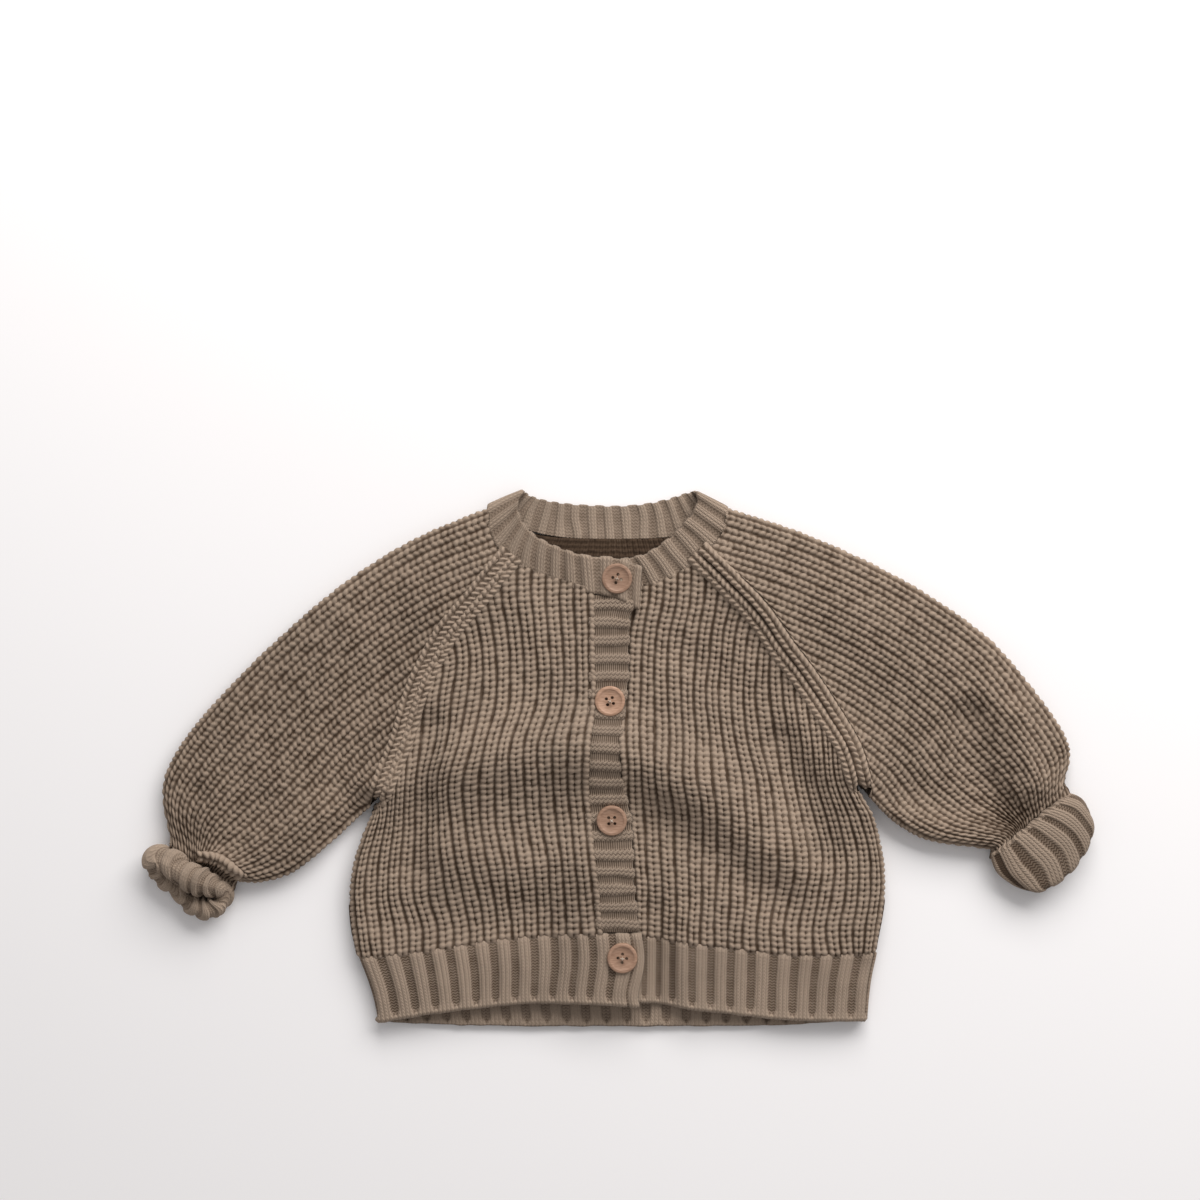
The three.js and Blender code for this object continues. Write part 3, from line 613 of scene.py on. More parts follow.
def front(cut, table, hem_seam, neck, way, raise_by):
    """A raglan front: columns run up from the hem seam and end at the raglan or the neck."""
    edges = folded_edges((cut, "side"))
    across = run_of_columns(table, way)
    hem = along(hem_seam, np.linspace(0, 1, 60))
    out_at_hem = way * hem[:, 0]
    raglan = along(cut["raglan"], np.linspace(0, 1, 120))
    neckline = along(neck, np.linspace(0, 1, 60))
    order = np.argsort(raglan[:, 1])
    seam_out = lambda y: np.interp(y, raglan[order, 1], way * raglan[order, 0])
    neck_y = lambda out: np.interp(out, way * neckline[:, 0], neckline[:, 1])
    armpit = cut["raglan"][-1][1]

    column = column_steps(-0.5, table[0][-1], 12)
    hem_out = way * across(column, np.full_like(column, -112))
    start_y = np.interp(hem_out, out_at_hem, hem[:, 1]) - 1.0
    # The course at which each column meets the raglan's braid or the neckband.
    most = 70
    test = np.arange(0, most, 0.05)
    cc, ss = np.meshgrid(column, test)
    ty = start_y[None, :] + ss * STITCH
    tx = way * across(cc, ty)
    gone = ((ty > armpit) & (tx > seam_out(ty) - (6.5 if way > 0 else 5.0))) | (ty > neck_y(tx) + 2.0)
    top = np.where(gone.any(0), test[np.argmax(gone, 0)], most)

    def tip(c, s):
        """Rises to 1 at the top of the columns that end at the raglan."""
        far = np.clip(1 - (np.interp(c, column, top) - s) / 3.2, 0, 1) ** 2
        return far * ease(c, 4.5, 7.0) * ease(table[0][-1] - c, 0.5, 2.5) * (1.0 if way < 0 else 0.3)

    def place(c, s):
        first = np.interp(c, column, start_y)
        y = first + s * STITCH
        x = across(c, y) + 0.45 * drift(c * 0.8, s * 0.16, 17)
        return x + way * 4.5 * tip(c, s), y

    courses = np.arange(-0.8, top.max() + 0.2, 0.2)
    cc, ss = np.meshgrid(column, courses)
    ss = np.minimum(ss, top[None, :])
    cloth = Cloth()
    knit_grid(cloth, cc, ss, place, edges, way, raise_by=raise_by, seed=11 if way < 0 else 23, slant=0.4,
              tip=tip(cc, ss), ends=(-1,))
    braid(cloth, cut["raglan"], -way, edges, seed=3, raise_by=raise_by, crisp=way > 0)
    return cloth


def braid(cloth, line, inward, edges, seed, width=8.4, raise_by=0.0, proud=1.3, crisp=True, rolls=False):
    """The raised chain of stitches that follows a raglan seam on one of its sides."""
    first, second = np.array(line[0], float), np.array(line[1], float)
    line = [tuple(first + (first - second) * 0.3)] + list(line)
    size = length_of(line)
    courses = np.arange(0, size / CHAIN_STITCH, 0.17)
    middle = along(line, courses * CHAIN_STITCH / size)
    weave = 0.0 if crisp else 0.8 * inward * np.sin(2 * math.pi * courses)[:, None]
    tangent = unit(np.gradient(middle, axis=0))
    square = np.stack([tangent[:, 1], -tangent[:, 0]], 1)
    square *= np.sign(square[:, :1] * inward + 1e-9)
    column = column_steps(0, 1, 16)
    gap = -0.1 if crisp else -0.35
    cc, ss = np.meshgrid(column, courses)
    far = cc * width + gap + weave * (1 - cc) ** 2
    x = middle[:, None, 0] + square[:, None, 0] * far
    y = middle[:, None, 1] + square[:, None, 1] * far
    z, normal = lie(x, y, edges, raise_by=raise_by)
    a = 2 * cc - 1
    high = 1.15 * chunky(cc, -ss, seed, slant=0.9)
    high = high + (1.1 if crisp else 0.5) * ease(a, 0.5, 0.9) * (1 - high / 3)
    if not crisp:
        high = high + 1.0 * ease(-a, 0.5, 0.9) * (1 - high / 3)
    valley = 0.9 * (1 - ease(ss, 10, 20)) + 0.15 if crisp else 0.0
    if rolls:
        proud, valley = proud * np.sin(math.pi * ss / courses[-1]) ** 0.6, 2.0
    dome = (proud if crisp else 0.8) * (1 - a ** 2) - np.where(a < 0, valley, 0.3) * a ** 6
    if not rolls:
        dome = dome - 2.4 * ease(ss, courses[-1] - 2.5, courses[-1])
    points = np.stack([x, y, z], -1) + normal * (high - DEEP + dome)[..., None]
    tone = 0.2 * (scatter(np.floor(2 * cc), np.floor(-ss), seed + 9) - 0.5)
    # Painted light: the braids are drawn lighter than the knit beside them, on top of the painted shade in
    # their grooves.
    cloth.grid(points, np.stack([cc, ss], -1), 1 - high / DEEP + tone - 0.18, flip=inward > 0)


def ride_up(x, y):
    return OVER * ease(x, -48, -20)


# ---- sleeves ------------------------------------------------------------------------------------------
def patch(start, end, low, high, fade=1.0):
    """A patch between edges: low and high are kept, start and end are fitted in between them.

    Each edge is a row of points or a function of the share of its length.
    """
    start, end, low, high = (
        edge if callable(edge) else (lambda share, line=edge: along(line, share))
        for edge in (start, end, low, high)
    )

    def bow(side, v):
        first, last = side(np.zeros(1)), side(np.ones(1))
        return side(v) - (first + (last - first) * v[..., None])

    def at(u, v):
        across = low(u) * (1 - v[..., None]) + high(u) * v[..., None]
        return across + bow(start, v) * (1 - u[..., None]) ** fade + bow(end, v) * u[..., None] ** fade
    return at


def beyond(line, x, y, hand):
    """How far each point lies to one side of a line, less than 0 on its other side."""
    best, signed = np.full(x.shape, 1e9), np.zeros(x.shape)
    for start, end in zip(line, line[1:]):
        ox, oy, dx, dy = off_segment(x, y, start, end)
        away = np.hypot(ox, oy)
        near = away < best
        best = np.where(near, away, best)
        side = np.sign(dx * (y - start[1]) - dy * (x - start[0]))
        signed = np.where(near, side * hand * away, signed)
    return signed


def sleeve(cut, across, way, crowd):
    """Columns of stitches run up from the cuff and end at the raglan or the neck.

    Before the cuff they are squeezed together: crowd is where, over what share of the columns,
    how much painted shade the squeezed crease gets, and how tight.
    """
    edges = folded_edges((cut, "shoulder"), (cut, "underarm"))
    count, rows = across
    fine = along(rows, np.linspace(0, 1, 400))[::-1]
    middle = (fine[:, :2] + fine[:, 2:]) / 2
    reach = distance(middle) / SLEEVE_STITCH
    cloth = Cloth()
    for under in (False, True):
        step, grain = (0.4, 6) if under else (0.2, 12)
        column = column_steps(0.5, count + 0.5, grain)
        share = (column - 0.5) / count

        def squeeze(c, s):
            k = np.interp(c, column, share)
            centre, wide, _, tight = crowd
            by = tight * (1 - ease(s * SLEEVE_STITCH, 2, 40)) * (not under)
            at_start = math.tanh(centre / wide)
            gather = lambda t: t - by * wide * (np.tanh((t - centre) / wide) + at_start)
            return gather(k) / gather(np.ones_like(k)), by / np.cosh((k - centre) / wide) ** 2

        def place(c, s):
            rung = np.stack([np.interp(s, reach, fine[:, k]) for k in range(4)], -1)
            k = squeeze(c, s)[0][..., None]
            at = rung[..., :2] * (1 - k) + rung[..., 2:] * k
            return at[..., 0], at[..., 1]

        seam = along(cut["back_raglan" if under else "raglan"], np.linspace(0, 1, 60))
        head = along(cut["back_head" if under else "head"], np.linspace(0, 1, 12))
        test = np.arange(0, reach[-1], 0.1)
        cc, ss = np.meshgrid(column, test)
        tx, ty = place(cc, ss)
        short_by = 0.3 if under else 5.6 if way > 0 else 4.0
        gone = (beyond(seam, tx, ty, way) < short_by) & (ty < seam[0, 1] + 6)
        gone |= (beyond(head, tx, ty, way) < -2.0) & (ty > head[-1, 1] - 4)
        top = np.where(gone.any(0), test[np.argmax(gone, 0)], test[-1])
        cc, ss = np.meshgrid(column, np.arange(-0.8, top.max() + step, step))
        ss = np.minimum(ss, top[None, :])
        tip = np.clip(1 - (top[None, :] - ss) / 2.6, 0, 1) ** 2 * ease(cc, 4.5, 6.0) * (not under)
        # Painted shade: the right sleeve darker all over than the left, the squeezed crease before the cuff
        # darker still.
        shade = (0.12 if way < 0 else 0.06) + crowd[2] * squeeze(cc, ss)[1]
        knit_grid(cloth, cc, ss, lambda c, s, tip=tip: place(c - 0.45 * tip, s), edges, way,
                  under=under, seed=31 if way < 0 else 47, slant=0.68, tip=tip, shade=shade)
    braid(cloth, cut["raglan"], way, edges, seed=8, crisp=way > 0)
    if way < 0:
        roll = [(-250, -53.6), (-242, -54.6), (-234.5, -57.5), (-228, -62), (-221.5, -68.5)]
        braid(cloth, roll, -1, edges, seed=19, width=9.0, proud=4.0, rolls=True)
    return cloth


# ---- back ---------------------------------------------------------------------------------------------
def back():
    edges = folded_edges((RIGHT, "side"), (LEFT, "side"))
    cloth = Cloth()
    out = 18.5  # columns on each side of the middle
    column = column_steps(-out, out, 5)
    share = (column + out) / (2 * out)
    right = [p for p in RIGHT["side"] if p[1] > -119][::-1] + RIGHT["back_raglan"][::-1][1:]
    left = [p for p in LEFT["side"] if p[1] > -116][::-1] + LEFT["back_raglan"][::-1][1:]
    low = lambda u: np.array(right[0]) + (np.array(left[0]) - np.array(right[0])) * u[..., None]
    face = patch(right, left, low, NECK_BACK)
    courses = np.arange(0, 72.5, 0.5)
    cc, ss = np.meshgrid(column, courses)
    at = face(np.broadcast_to(share, ss.shape), ss / courses[-1])
    knit_grid(cloth, cc, ss, lambda c, s: (at[..., 0], at[..., 1]), edges, 1, under=True, seed=61)
    # The inner face, seen in at the neck and the hem, with painted shade on it: more at the neck than at the
    # hem.
    for first, last, dark in ((58.0, courses[-1], 0.8), (0.0, 8.0, 0.3)):
        inner_columns, inner_courses = np.meshgrid(column, np.arange(first, last, 0.3))
        at = face((inner_columns + out) / (2 * out), inner_courses / courses[-1])
        high = chunky(inner_columns, inner_courses, 77)
        points = np.stack([at[..., 0], at[..., 1], 2.2 + 0.8 * high], -1)
        cloth.grid(points, np.stack([inner_columns, inner_courses], -1), 1 - high / DEEP + dark)
    return cloth


def side_below(cut, y):
    return [p for p in cut["side"] if p[1] <= y + 0.5][::-1]


# ---- ribbed trims -----------------------------------------------------------------------------------
HEM_EDGE_RIGHT = [(13, -148), (-29, -146), (-64, -147), (-109, -152), (-146, -158)]
HEM_EDGE_LEFT = [(-12, -146), (14, -146), (55, -151), (100, -156), (149, -157)]
HEM_RIBS_RIGHT = [
    14.5, 5.6, -4.4, -16.6, -27.4, -39, -50.5, -62.3, -74.4, -86.3, -98.4, -111, -123.4, -136, -149,
]
HEM_RIBS_LEFT = [-13, -3, 6, 15.5, 23.6, 30.8, 43.7, 54.7, 66.2, 78.6, 91.4, 103.8, 115.8, 127, 139.5, 151]
# The buttonhole band between its seam and its free edge: rows of y, seam x, free x.
BAND = [
    (-104, -14, 12.6), (-80, -15.3, 10), (-58, -18.2, 8.8), (-34, -20.4, 7.5), (-15, -21.8, 3),
    (0, -24, 1.4), (12, -22.8, 2.4), (31, -19.5, 4), (53, -18.2, 6.4), (70, -18.2, 6.2),
    (84, -18.2, 7), (99, -17.5, 12.5),
]
# Rows round the neck: x and y of the seam, x and y of the free edge, height of the middle.
TOP = 2 * HALF - DROP - RIB / 2
NECKBAND = [
    (12, 89, 14, 115, TOP + OVER + 0.9), (-3, 96.5, 0, 120.5, TOP + OVER + 0.9),
    (-17, 99, -19, 122, TOP + 0.9 * OVER + 0.7),
    (-31, 102.5, -32, 125.5, TOP + 0.4 * OVER), (-45, 107, -43, 130, TOP), (-57, 112.5, -51, 135, TOP),
    (-69, 121, -57, 141.5, TOP), (-76, 130, -60, 148, TOP), (-79, 138, -60.5, 153, TOP),
    (-79.5, 145, -59.5, 156, TOP), (-79.5, 149, -58, 159, TOP - 0.9), (-79, 152, -57, 161, HALF),
    (-74, 149, -56, 160, RIB / 2 + 0.5), (-67, 143, -53, 158, RIB / 2), (-52, 136.5, -45, 155.5, RIB / 2),
    (-34, 133, -33, 153.5, RIB / 2), (-15, 132, -16, 152.3, RIB / 2), (4, 132, 2, 152, RIB / 2),
    (22, 132.5, 18, 153.6, RIB / 2), (39, 134.5, 31, 156.5, RIB / 2), (54, 141, 40, 159.5, RIB / 2),
    (61, 148, 44, 160.5, RIB / 2 + 0.5), (65, 152, 45, 161, HALF),
    (66, 149, 46, 160, TOP - 0.9), (65.5, 144, 46.5, 157, TOP), (64, 137, 45.5, 150.5, TOP),
    (58.5, 128.5, 40, 143, TOP), (50, 119.5, 34.5, 137, TOP), (41, 113.5, 27, 130.5, TOP),
    (29, 107, 16, 123.5, TOP), (16, 102.5, 6, 121, TOP), (4, 100, -5, 119, TOP),
]


def shell(cloth, face, normal, high, uv, rolled, thick=1.9, inner_dark=0.42, inner_shade=0.0, dark=0.7,
          shade=0.0):
    """A closed piece of ribbing: its face, the same relief on its back, and its rim between them."""
    inner = face + normal * (high - LEVEL - thick)[..., None]
    outer = face + normal * (high - LEVEL)[..., None]
    roll = np.sqrt(1 - (1 - np.clip(rolled, 0, 1)) ** 2)
    outer = inner + (outer - inner) * roll[..., None]
    padded = np.pad(inner, ((1, 1), (1, 1), (0, 0)), mode="edge")
    padded[1:-1, 1:-1] = outer
    # Painted shade: darker down in the recessed ribs by dark, plus shade all over; the back face gets its own
    # painted shade by inner_dark and inner_shade.
    hollow = np.pad(np.clip(1 - high / LEVEL, 0, 1) * dark + shade, 1, mode="edge")
    wide_uv = np.pad(uv, ((1, 1), (1, 1), (0, 0)), mode="edge")
    a = outer[:, 1:] - outer[:, :-1]
    b = outer[1:] - outer[:-1]
    facing = (np.cross(a[:-1], b[:, :-1]) * normal[:-1, :-1]).sum()
    cloth.grid(padded, wide_uv, hollow, flip=facing < 0)
    cloth.grid(inner, uv, np.clip(high / LEVEL, 0, 1) * inner_dark + inner_shade, flip=facing > 0)


def border(count, edge_mm, size_mm):
    """0 at both ends of a size, 1 further in than edge_mm."""
    t = np.linspace(0, size_mm, count)
    return np.clip(np.minimum(t, size_mm - t) / edge_mm, 0, 1)


def hem(seam, low, start, end, grooves, way, under=False, raise_by=0.0, rolled_start=True, seed=0):
    """Ribbing along the hem; grooves are the x of the recessed ribs half way down it."""
    edges = folded_edges((RIGHT, "side"), (LEFT, "side"))
    count = len(grooves) - 1
    across, up = count * 16, 38
    u, v = np.linspace(0, 1, across + 1), np.linspace(0, 1, up + 1)
    uu, vv = np.meshgrid(u, v)
    fine = np.linspace(0, 1, 300)
    low_line, seam_line = along(low, fine), along(seam, fine)
    order = np.argsort(seam_line[:, 0])

    def top(t):
        """The seam's point over each share of the lower edge; ribs lean only toward the sides."""
        at_start, at_end = seam_line[0, 0] - low_line[0, 0], seam_line[-1, 0] - low_line[-1, 0]
        x = np.interp(t, fine, low_line[:, 0])
        x = x + at_end * t ** 2.5 + at_start * (1 - t) ** 2.5
        return np.stack([x, np.interp(x, seam_line[order, 0], seam_line[order, 1])], -1)

    face = patch(start, end, low, top, fade=2.5)
    half_way = face(u, np.full_like(u, 0.35))[:, 0]
    outward = grooves if way * (grooves[-1] - grooves[0]) > 0 else grooves[::-1]
    place = np.interp(way * half_way, way * np.array(outward, float), np.arange(count + 1))
    place = np.broadcast_to(place, uu.shape) + 0.025 * drift(uu * count * 0.7, vv * 2.2, seed)
    at = face(uu, vv)
    end_at, round_by = (0.03, 0.12) if under else (0.05, 0.11)
    open_by = np.sqrt(1 - np.clip((end_at + round_by - vv) / round_by, 0, 1) ** 2)
    wide = 0.42 * open_by - 0.15 * (1 - open_by) if under else 1 - 0.42 * open_by + 0.15 * (1 - open_by)
    if rolled_start and way < 0:
        wide = np.where(place < 1.25, 1.3, wide)
    high = ribs(place, vv * 22, wide, seed=seed, deep=1.45)
    if rolled_start and way < 0:
        inside = at[:, :1, 0] - at[..., 0]
        high = high + 0.9 * np.exp(-((inside - 3.6) / 2.2) ** 2)
        high = high - 1.7 * np.exp(-((inside - 7.4) / 0.9) ** 2)
    flare = np.clip(1 - vv / 0.12, 0, 1)
    x = at[..., 0]
    y = at[..., 1] - flare * 0.5 * (high > 0.9) + 0.3 * flare * drift(uu * count * 2, vv, seed + 4)
    z, normal = lie(x, y, edges, under, raise_by, drop=DROP)
    if not under:
        z = z - 1.6 * ease(vv, 0.92, 1.0)
    points = np.stack([x, y, z], -1)
    roll = np.minimum.outer(border(up + 1, 1.4, 42), np.minimum(
        np.clip(u * 150 / 1.6, 0, 1) if rolled_start else 1.0, np.ones(across + 1)))
    uv = np.stack([place * 5, vv * 42 / 2.1], -1)
    cloth = Cloth()
    # Painted shade in the recessed ribs; the back hem's inner face, which shows below the fronts, is painted
    # lighter.
    shell(cloth, points, normal, high + (0.0 if under else 0.35) * flare, uv, roll, thick=1.6,
          inner_dark=0.66 if under else 0.42, inner_shade=-0.18 if under else 0.0, dark=0.76,
          shade=-0.02)
    return cloth


def band(level, inset, seed, under=False):
    """A ribbed band down the middle, knitted crossways: its ribs run from seam to free edge."""
    rows = np.array(BAND, float)
    y = np.linspace(rows[0, 0] + 0.3, rows[-1, 0] - 0.3, 250 if under else 310)
    seam = smooth(rows[:, 0], rows[:, 1], y) + inset
    free = smooth(rows[:, 0], rows[:, 2], y) - inset
    v = np.linspace(0, 1, 24 if under else 34)
    yy, vv = np.meshgrid(y, v, indexing="ij")
    rib_at = (yy + 104) / 10.6 + 0.10 * drift(vv * 2, yy / 12, seed)
    high = 0.25 + 0.85 * ribs(rib_at, vv * 12, 0.56, seed=seed)
    scallop = 0.9 * (high - 1.0)
    left = seam[:, None] - scallop * (1 - vv) ** 4
    right = free[:, None] + scallop * vv ** 4
    xx = left + (right - left) * vv
    z = np.full(xx.shape, level) + fold_rise(xx, yy) * 0.6
    z = z + (0 if under else 0.5) * vv ** 6 + 0.3 * (1 - vv) ** 6
    points = np.stack([xx, yy, z], -1)
    normal = np.broadcast_to(UP, points.shape)
    roll = np.minimum.outer(border(len(y), 1.2, 200), border(len(v), 1.9, 26))
    uv = np.stack([rib_at * 4, vv * 26 / 2.6], -1)
    cloth = Cloth()
    # Painted shade in the recessed ribs, and a little more all over the band.
    shell(cloth, points, normal, high, uv, roll, shade=0.08)
    return cloth


def neck_strip():
    rows = along(NECKBAND, np.linspace(0, 1, 1200))
    middle = np.stack([(rows[:, 0] + rows[:, 2]) / 2, (rows[:, 1] + rows[:, 3]) / 2, rows[:, 4]], 1)
    outer_line = np.stack([rows[:, 0], rows[:, 1], rows[:, 4]], 1)
    reach = distance(0.5 * (middle + outer_line))
    size = reach[-1]
    at = np.arange(0, size, 0.72)
    rows = np.stack([np.interp(at, reach, rows[:, k]) for k in range(5)], 1)
    seam = np.stack([rows[:, 0], rows[:, 1], rows[:, 4]], 1)
    free = np.stack([rows[:, 2], rows[:, 3], rows[:, 4]], 1)
    middle = (seam + free) / 2
    width = free - seam
    ahead = np.gradient(middle, axis=0)
    out = unit(np.cross(unit(width), ahead))
    kernel = np.hanning(13)
    kernel /= kernel.sum()
    padded = [np.pad(out[:, k], 6, mode="edge") for k in range(3)]
    out = unit(np.stack([np.convolve(part, kernel, mode="valid") for part in padded], 1))
    v = np.linspace(0, 1, 30)
    vv = np.broadcast_to(v[None, :], (len(at), 30))
    rib_at = at[:, None] / 10.2 + 0.3 + 0.12 * drift(vv * 1.5, at[:, None] / 14, 9)
    high = 0.2 + 0.84 * ribs(rib_at, vv * 10, 0.58, seed=9)
    place = seam[:, None] + width[:, None] * (vv + 0.03 * (high - 0.8) * vv ** 5)[..., None]
    normal = np.broadcast_to(out[:, None], place.shape)
    face = place + normal * (RIB / 2 + 0.35 * np.sin(np.pi * vv) + 0.5 * vv ** 5)[..., None]
    roll = np.minimum.outer(border(len(at), 1.4, size), border(30, 1.9, 23))
    uv = np.stack([rib_at * 5, vv * 23 / 2.6], -1)
    cloth = Cloth()
    # Painted shade in the recessed ribs; the inner face, seen at the back of the neck, gets stronger painted
    # shade in its recesses and painted light on its ribs.
    shell(cloth, face, normal, high, uv, roll, inner_dark=1.5, inner_shade=-0.75, dark=0.66, shade=0.04)
    return cloth


def tube_normals(points):
    """Outward normals of closed loops of points (rows) that run round a flattened tube."""
    a = np.roll(points, -1, axis=1) - np.roll(points, 1, axis=1)
    b = np.gradient(points, axis=0)
    return unit(np.cross(a, b), 1e-9)


def turned_cuff():
    """The left cuff, folded back on itself: a flattened ring of ribbing, widest at its fold."""
    free_edge = [(270, -20), (257, -28), (243, -39.5), (222, -57)]
    fold_edge = [(283, -31), (284, -43), (278.5, -57), (267, -71), (252, -79.5), (238, -77)]
    high_side = [(270, -20), (277, -22.5), (283, -31)]
    low_side = [(222, -57), (227, -68.5), (238, -77)]
    plan = patch(high_side, low_side, free_edge, fold_edge, fade=3.0)
    around, rows = 400, 50
    turn = np.arange(around) / around * 2 * math.pi
    share = 0.5 - 0.5 * np.sign(np.cos(turn)) * np.abs(np.cos(turn)) ** 0.85
    lift = np.sign(np.sin(turn)) * np.abs(np.sin(turn)) ** 0.72

    def loop(v, inset):
        w = 0.5 + (share - 0.5) * (1 - inset / 30)
        at = plan(w, np.full(around, v))
        bow = np.interp(w, [0, 0.15, 0.5, 0.7, 0.85, 1], [0, 2.5, 6, 4, -1, 0]) * 4 * v * (1 - v)
        half = 7.0 + 1.8 * math.sin(math.pi * v ** 0.8) - inset
        return np.column_stack([at + 0.707 * bow[:, None], 7.8 + half * lift * (1 - 0.14 * w)])

    v = np.linspace(0, 1, rows)
    at_free, at_fold = 1 - np.minimum(v / 0.06, 1), np.maximum(v - 0.88, 0) / 0.12
    inset = 2.6 * (1 - np.sqrt(1 - at_free ** 2)) + 3.2 * (1 - np.sqrt(1 - at_fold ** 2))
    points = np.array([loop(t, i) for t, i in zip(v, inset)])
    normal = tube_normals(points)
    centre = points.mean(axis=1, keepdims=True)
    if ((points - centre) * normal).sum() < 0:
        normal = -normal
    v = v[:, None]
    rib_at = np.where(np.sin(turn) >= 0, share * 5.5, 11 - share * 5.5)[None] - 0.16
    rib_at = rib_at + 0.05 * drift(turn[None] * 3, v * 3, 15)
    high = 0.6 + ribs(rib_at, v * 14, 0.64, seed=15, deep=0.85)
    chain = np.exp(-((v - 0.035) / 0.03) ** 2)
    high = high * (1 - chain) + chain * (1.7 + 0.6 * np.sin(share[None] * 2 * math.pi * 60 / 3.6))
    points = points + normal * (high - 1.6)[..., None]
    uv = np.stack([rib_at * 6 + 0.5, np.broadcast_to(v * 17, rib_at.shape)], -1)
    inner = np.array([loop(t, 4.6) for t in (0.985, 0.95, 0.8, 0.5, 0.2, 0.04)])
    cloth = Cloth()
    # Painted shade: darker in the recessed ribs, more towards the cuff's lower end, which turns away from the
    # light, and inside the ring.
    hollow = np.clip((1.5 - high) / 0.9, 0, 1) * 0.78 + 0.08 + 0.3 * ease(share, 0.7, 1.0)
    a = np.roll(points, -1, axis=1) - points
    facing = (np.cross(a[:-1], points[1:] - points[:-1]) * normal[:-1]).sum()
    cloth.grid(np.vstack([points, inner, points[:1]]), np.vstack([uv, uv[:6], uv[:1]]),
               np.vstack([hollow, np.full((6, around), 0.9), hollow[:1]]), flip=facing < 0, around=True)
    return cloth


# The rolled-up right cuff: x, y and z of the middle of its roll and the roll's radius, once round.
ROLL = [
    (-276.3, -61, 9, 8.0), (-268, -63, 11, 8.8), (-259, -68, 12.5, 8.6), (-250, -73, 12.5, 8.6),
    (-242.5, -76, 10.5, 7.0), (-236.5, -81, 6.5, 5.1), (-240, -87.5, 5.8, 5.6), (-248.5, -89.5, 6, 6.7),
    (-257.5, -85, 6, 6.5), (-265.5, -77.5, 6, 5.8), (-273, -70, 6.5, 6.3),
]


def rolled_cuff():
    """The right cuff, scrunched and turned up into a fat, uneven ring with a narrow slot in it."""
    around, tube = 380, 84
    table = np.array(ROLL)
    t = np.arange(around + 1) / around * len(table)
    i = np.floor(t).astype(int)
    k = (t - i)[:, None]
    a, b, c, d = (table[(i + step) % len(table)] for step in (-1, 0, 1, 2))
    spine = curve(a, b, c, d, k)
    middle, radius = spine[:, None, :3], spine[:, None, 3]
    reach = distance(spine[:, :3])
    ahead = np.roll(spine[:-1, :3], -1, axis=0) - np.roll(spine[:-1, :3], 1, axis=0)
    ahead = unit(np.vstack([ahead, ahead[:1]]))
    out = unit(np.cross(ahead, UP))
    if ((out * (spine[:, :3] - spine[:, :3].mean(0))).sum()) < 0:
        out = -out
    roll = np.linspace(-0.5, 1.5, tube) * math.pi
    tt, rr = np.meshgrid(reach / reach[-1] * 2 * math.pi, roll, indexing="ij")
    rib_at = tt / (2 * math.pi) * 12 + 0.5 * np.sin(rr + 0.4) + 0.25 * np.sin(3 * tt + 1)
    rib_at = rib_at + 0.12 * drift(np.cos(tt) * 2.5, rr * 0.8, 21)
    raised = 0.5 + 0.12 * np.sin(5 * tt + 0.7)
    wale = np.abs(np.sin(math.pi * (6 * rib_at + 0.5)))
    high = 0.55 + ribs(rib_at, rr / (2 * math.pi) * 20, raised, seed=21, deep=1.2) + 0.1 * wale
    crease = np.exp(-(np.sin(2.5 * tt + 0.9 + 0.7 * np.sin(rr)) / 0.16) ** 2)
    crease = crease * (0.6 + 0.4 * np.sin(rr + 1.3))
    crumple = 1 + 0.06 * np.sin(3 * tt + 2.1 + 1.5 * np.sin(rr))
    crumple = crumple + 0.09 * drift(np.cos(tt) * 3 + 5, np.cos(rr) * 2, 33) - 0.14 * crease
    size = radius * crumple + high * 1.1 - 1.6 - 0.4 * (rr > 1.49 * math.pi)
    outward = np.cos(rr)[..., None] * out[:, None] + 0.94 * np.sin(rr)[..., None] * UP
    points = middle + size[..., None] * outward
    points[..., 2] = np.maximum(points[..., 2], 0.15)
    points[-1] = points[0]
    uv = np.stack([rib_at * 6 + 0.5, rr / (2 * math.pi) * 26], -1)
    cloth = Cloth()
    # Painted shade on the roll's inner side and in its creases, with the rest of the ribbing painted a little
    # lighter.
    deep_in = 0.6 * ease(-np.cos(rr), 0.5, 0.95) + 0.2 * crease
    turned = np.cross(points[1, 0] - points[0, 0], points[0, 1] - points[0, 0]) @ (-UP)
    cloth.grid(points, uv, np.clip((1.5 - high) / 0.9, 0, 1) * 0.7 + deep_in - 0.28, flip=turned < 0)
    return cloth


# ---- buttons --------------------------------------------------------------------------------------------
def wood_material(number, tint):
    n = Nodes(f"button_wood_{number}")
    place = n.add("ShaderNodeTexCoord").outputs["Object"]
    stretched = n.add("ShaderNodeMapping", {"Vector": place, "Scale": (260, 1500, 900)}).outputs[0]
    grain = n.noise(stretched, 1.0, 4.0)
    shades = [(0.3, (0.255, 0.147, 0.094)), (0.5, (0.33, 0.198, 0.133)), (0.72, (0.41, 0.257, 0.18))]
    tone = n.ramp(grain, [(at, tuple(tint * part for part in colour)) for at, colour in shades])
    n.feed(n.shader.inputs["Base Color"], tone)
    bump = n.add("ShaderNodeBump", {"Height": grain, "Strength": 0.25, "Distance": 0.0001})
    n.feed(n.shader.inputs["Normal"], bump.outputs[0])
    n.shader.inputs["Roughness"].default_value = 0.55
    n.shader.inputs["Specular IOR Level"].default_value = 0.35
    return n.material


def thread_material():
    n = Nodes("sewing_thread")
    place = n.add("ShaderNodeTexCoord").outputs["Object"]
    ply = n.noise(place, 2600, 2.0)
    n.feed(n.shader.inputs["Base Color"], n.ramp(ply, [(0.3, (0.42, 0.34, 0.27)), (0.7, (0.62, 0.54, 0.45))]))
    n.shader.inputs["Roughness"].default_value = 0.8
    return n.material


BUTTON_RADIUS = 9 * MM
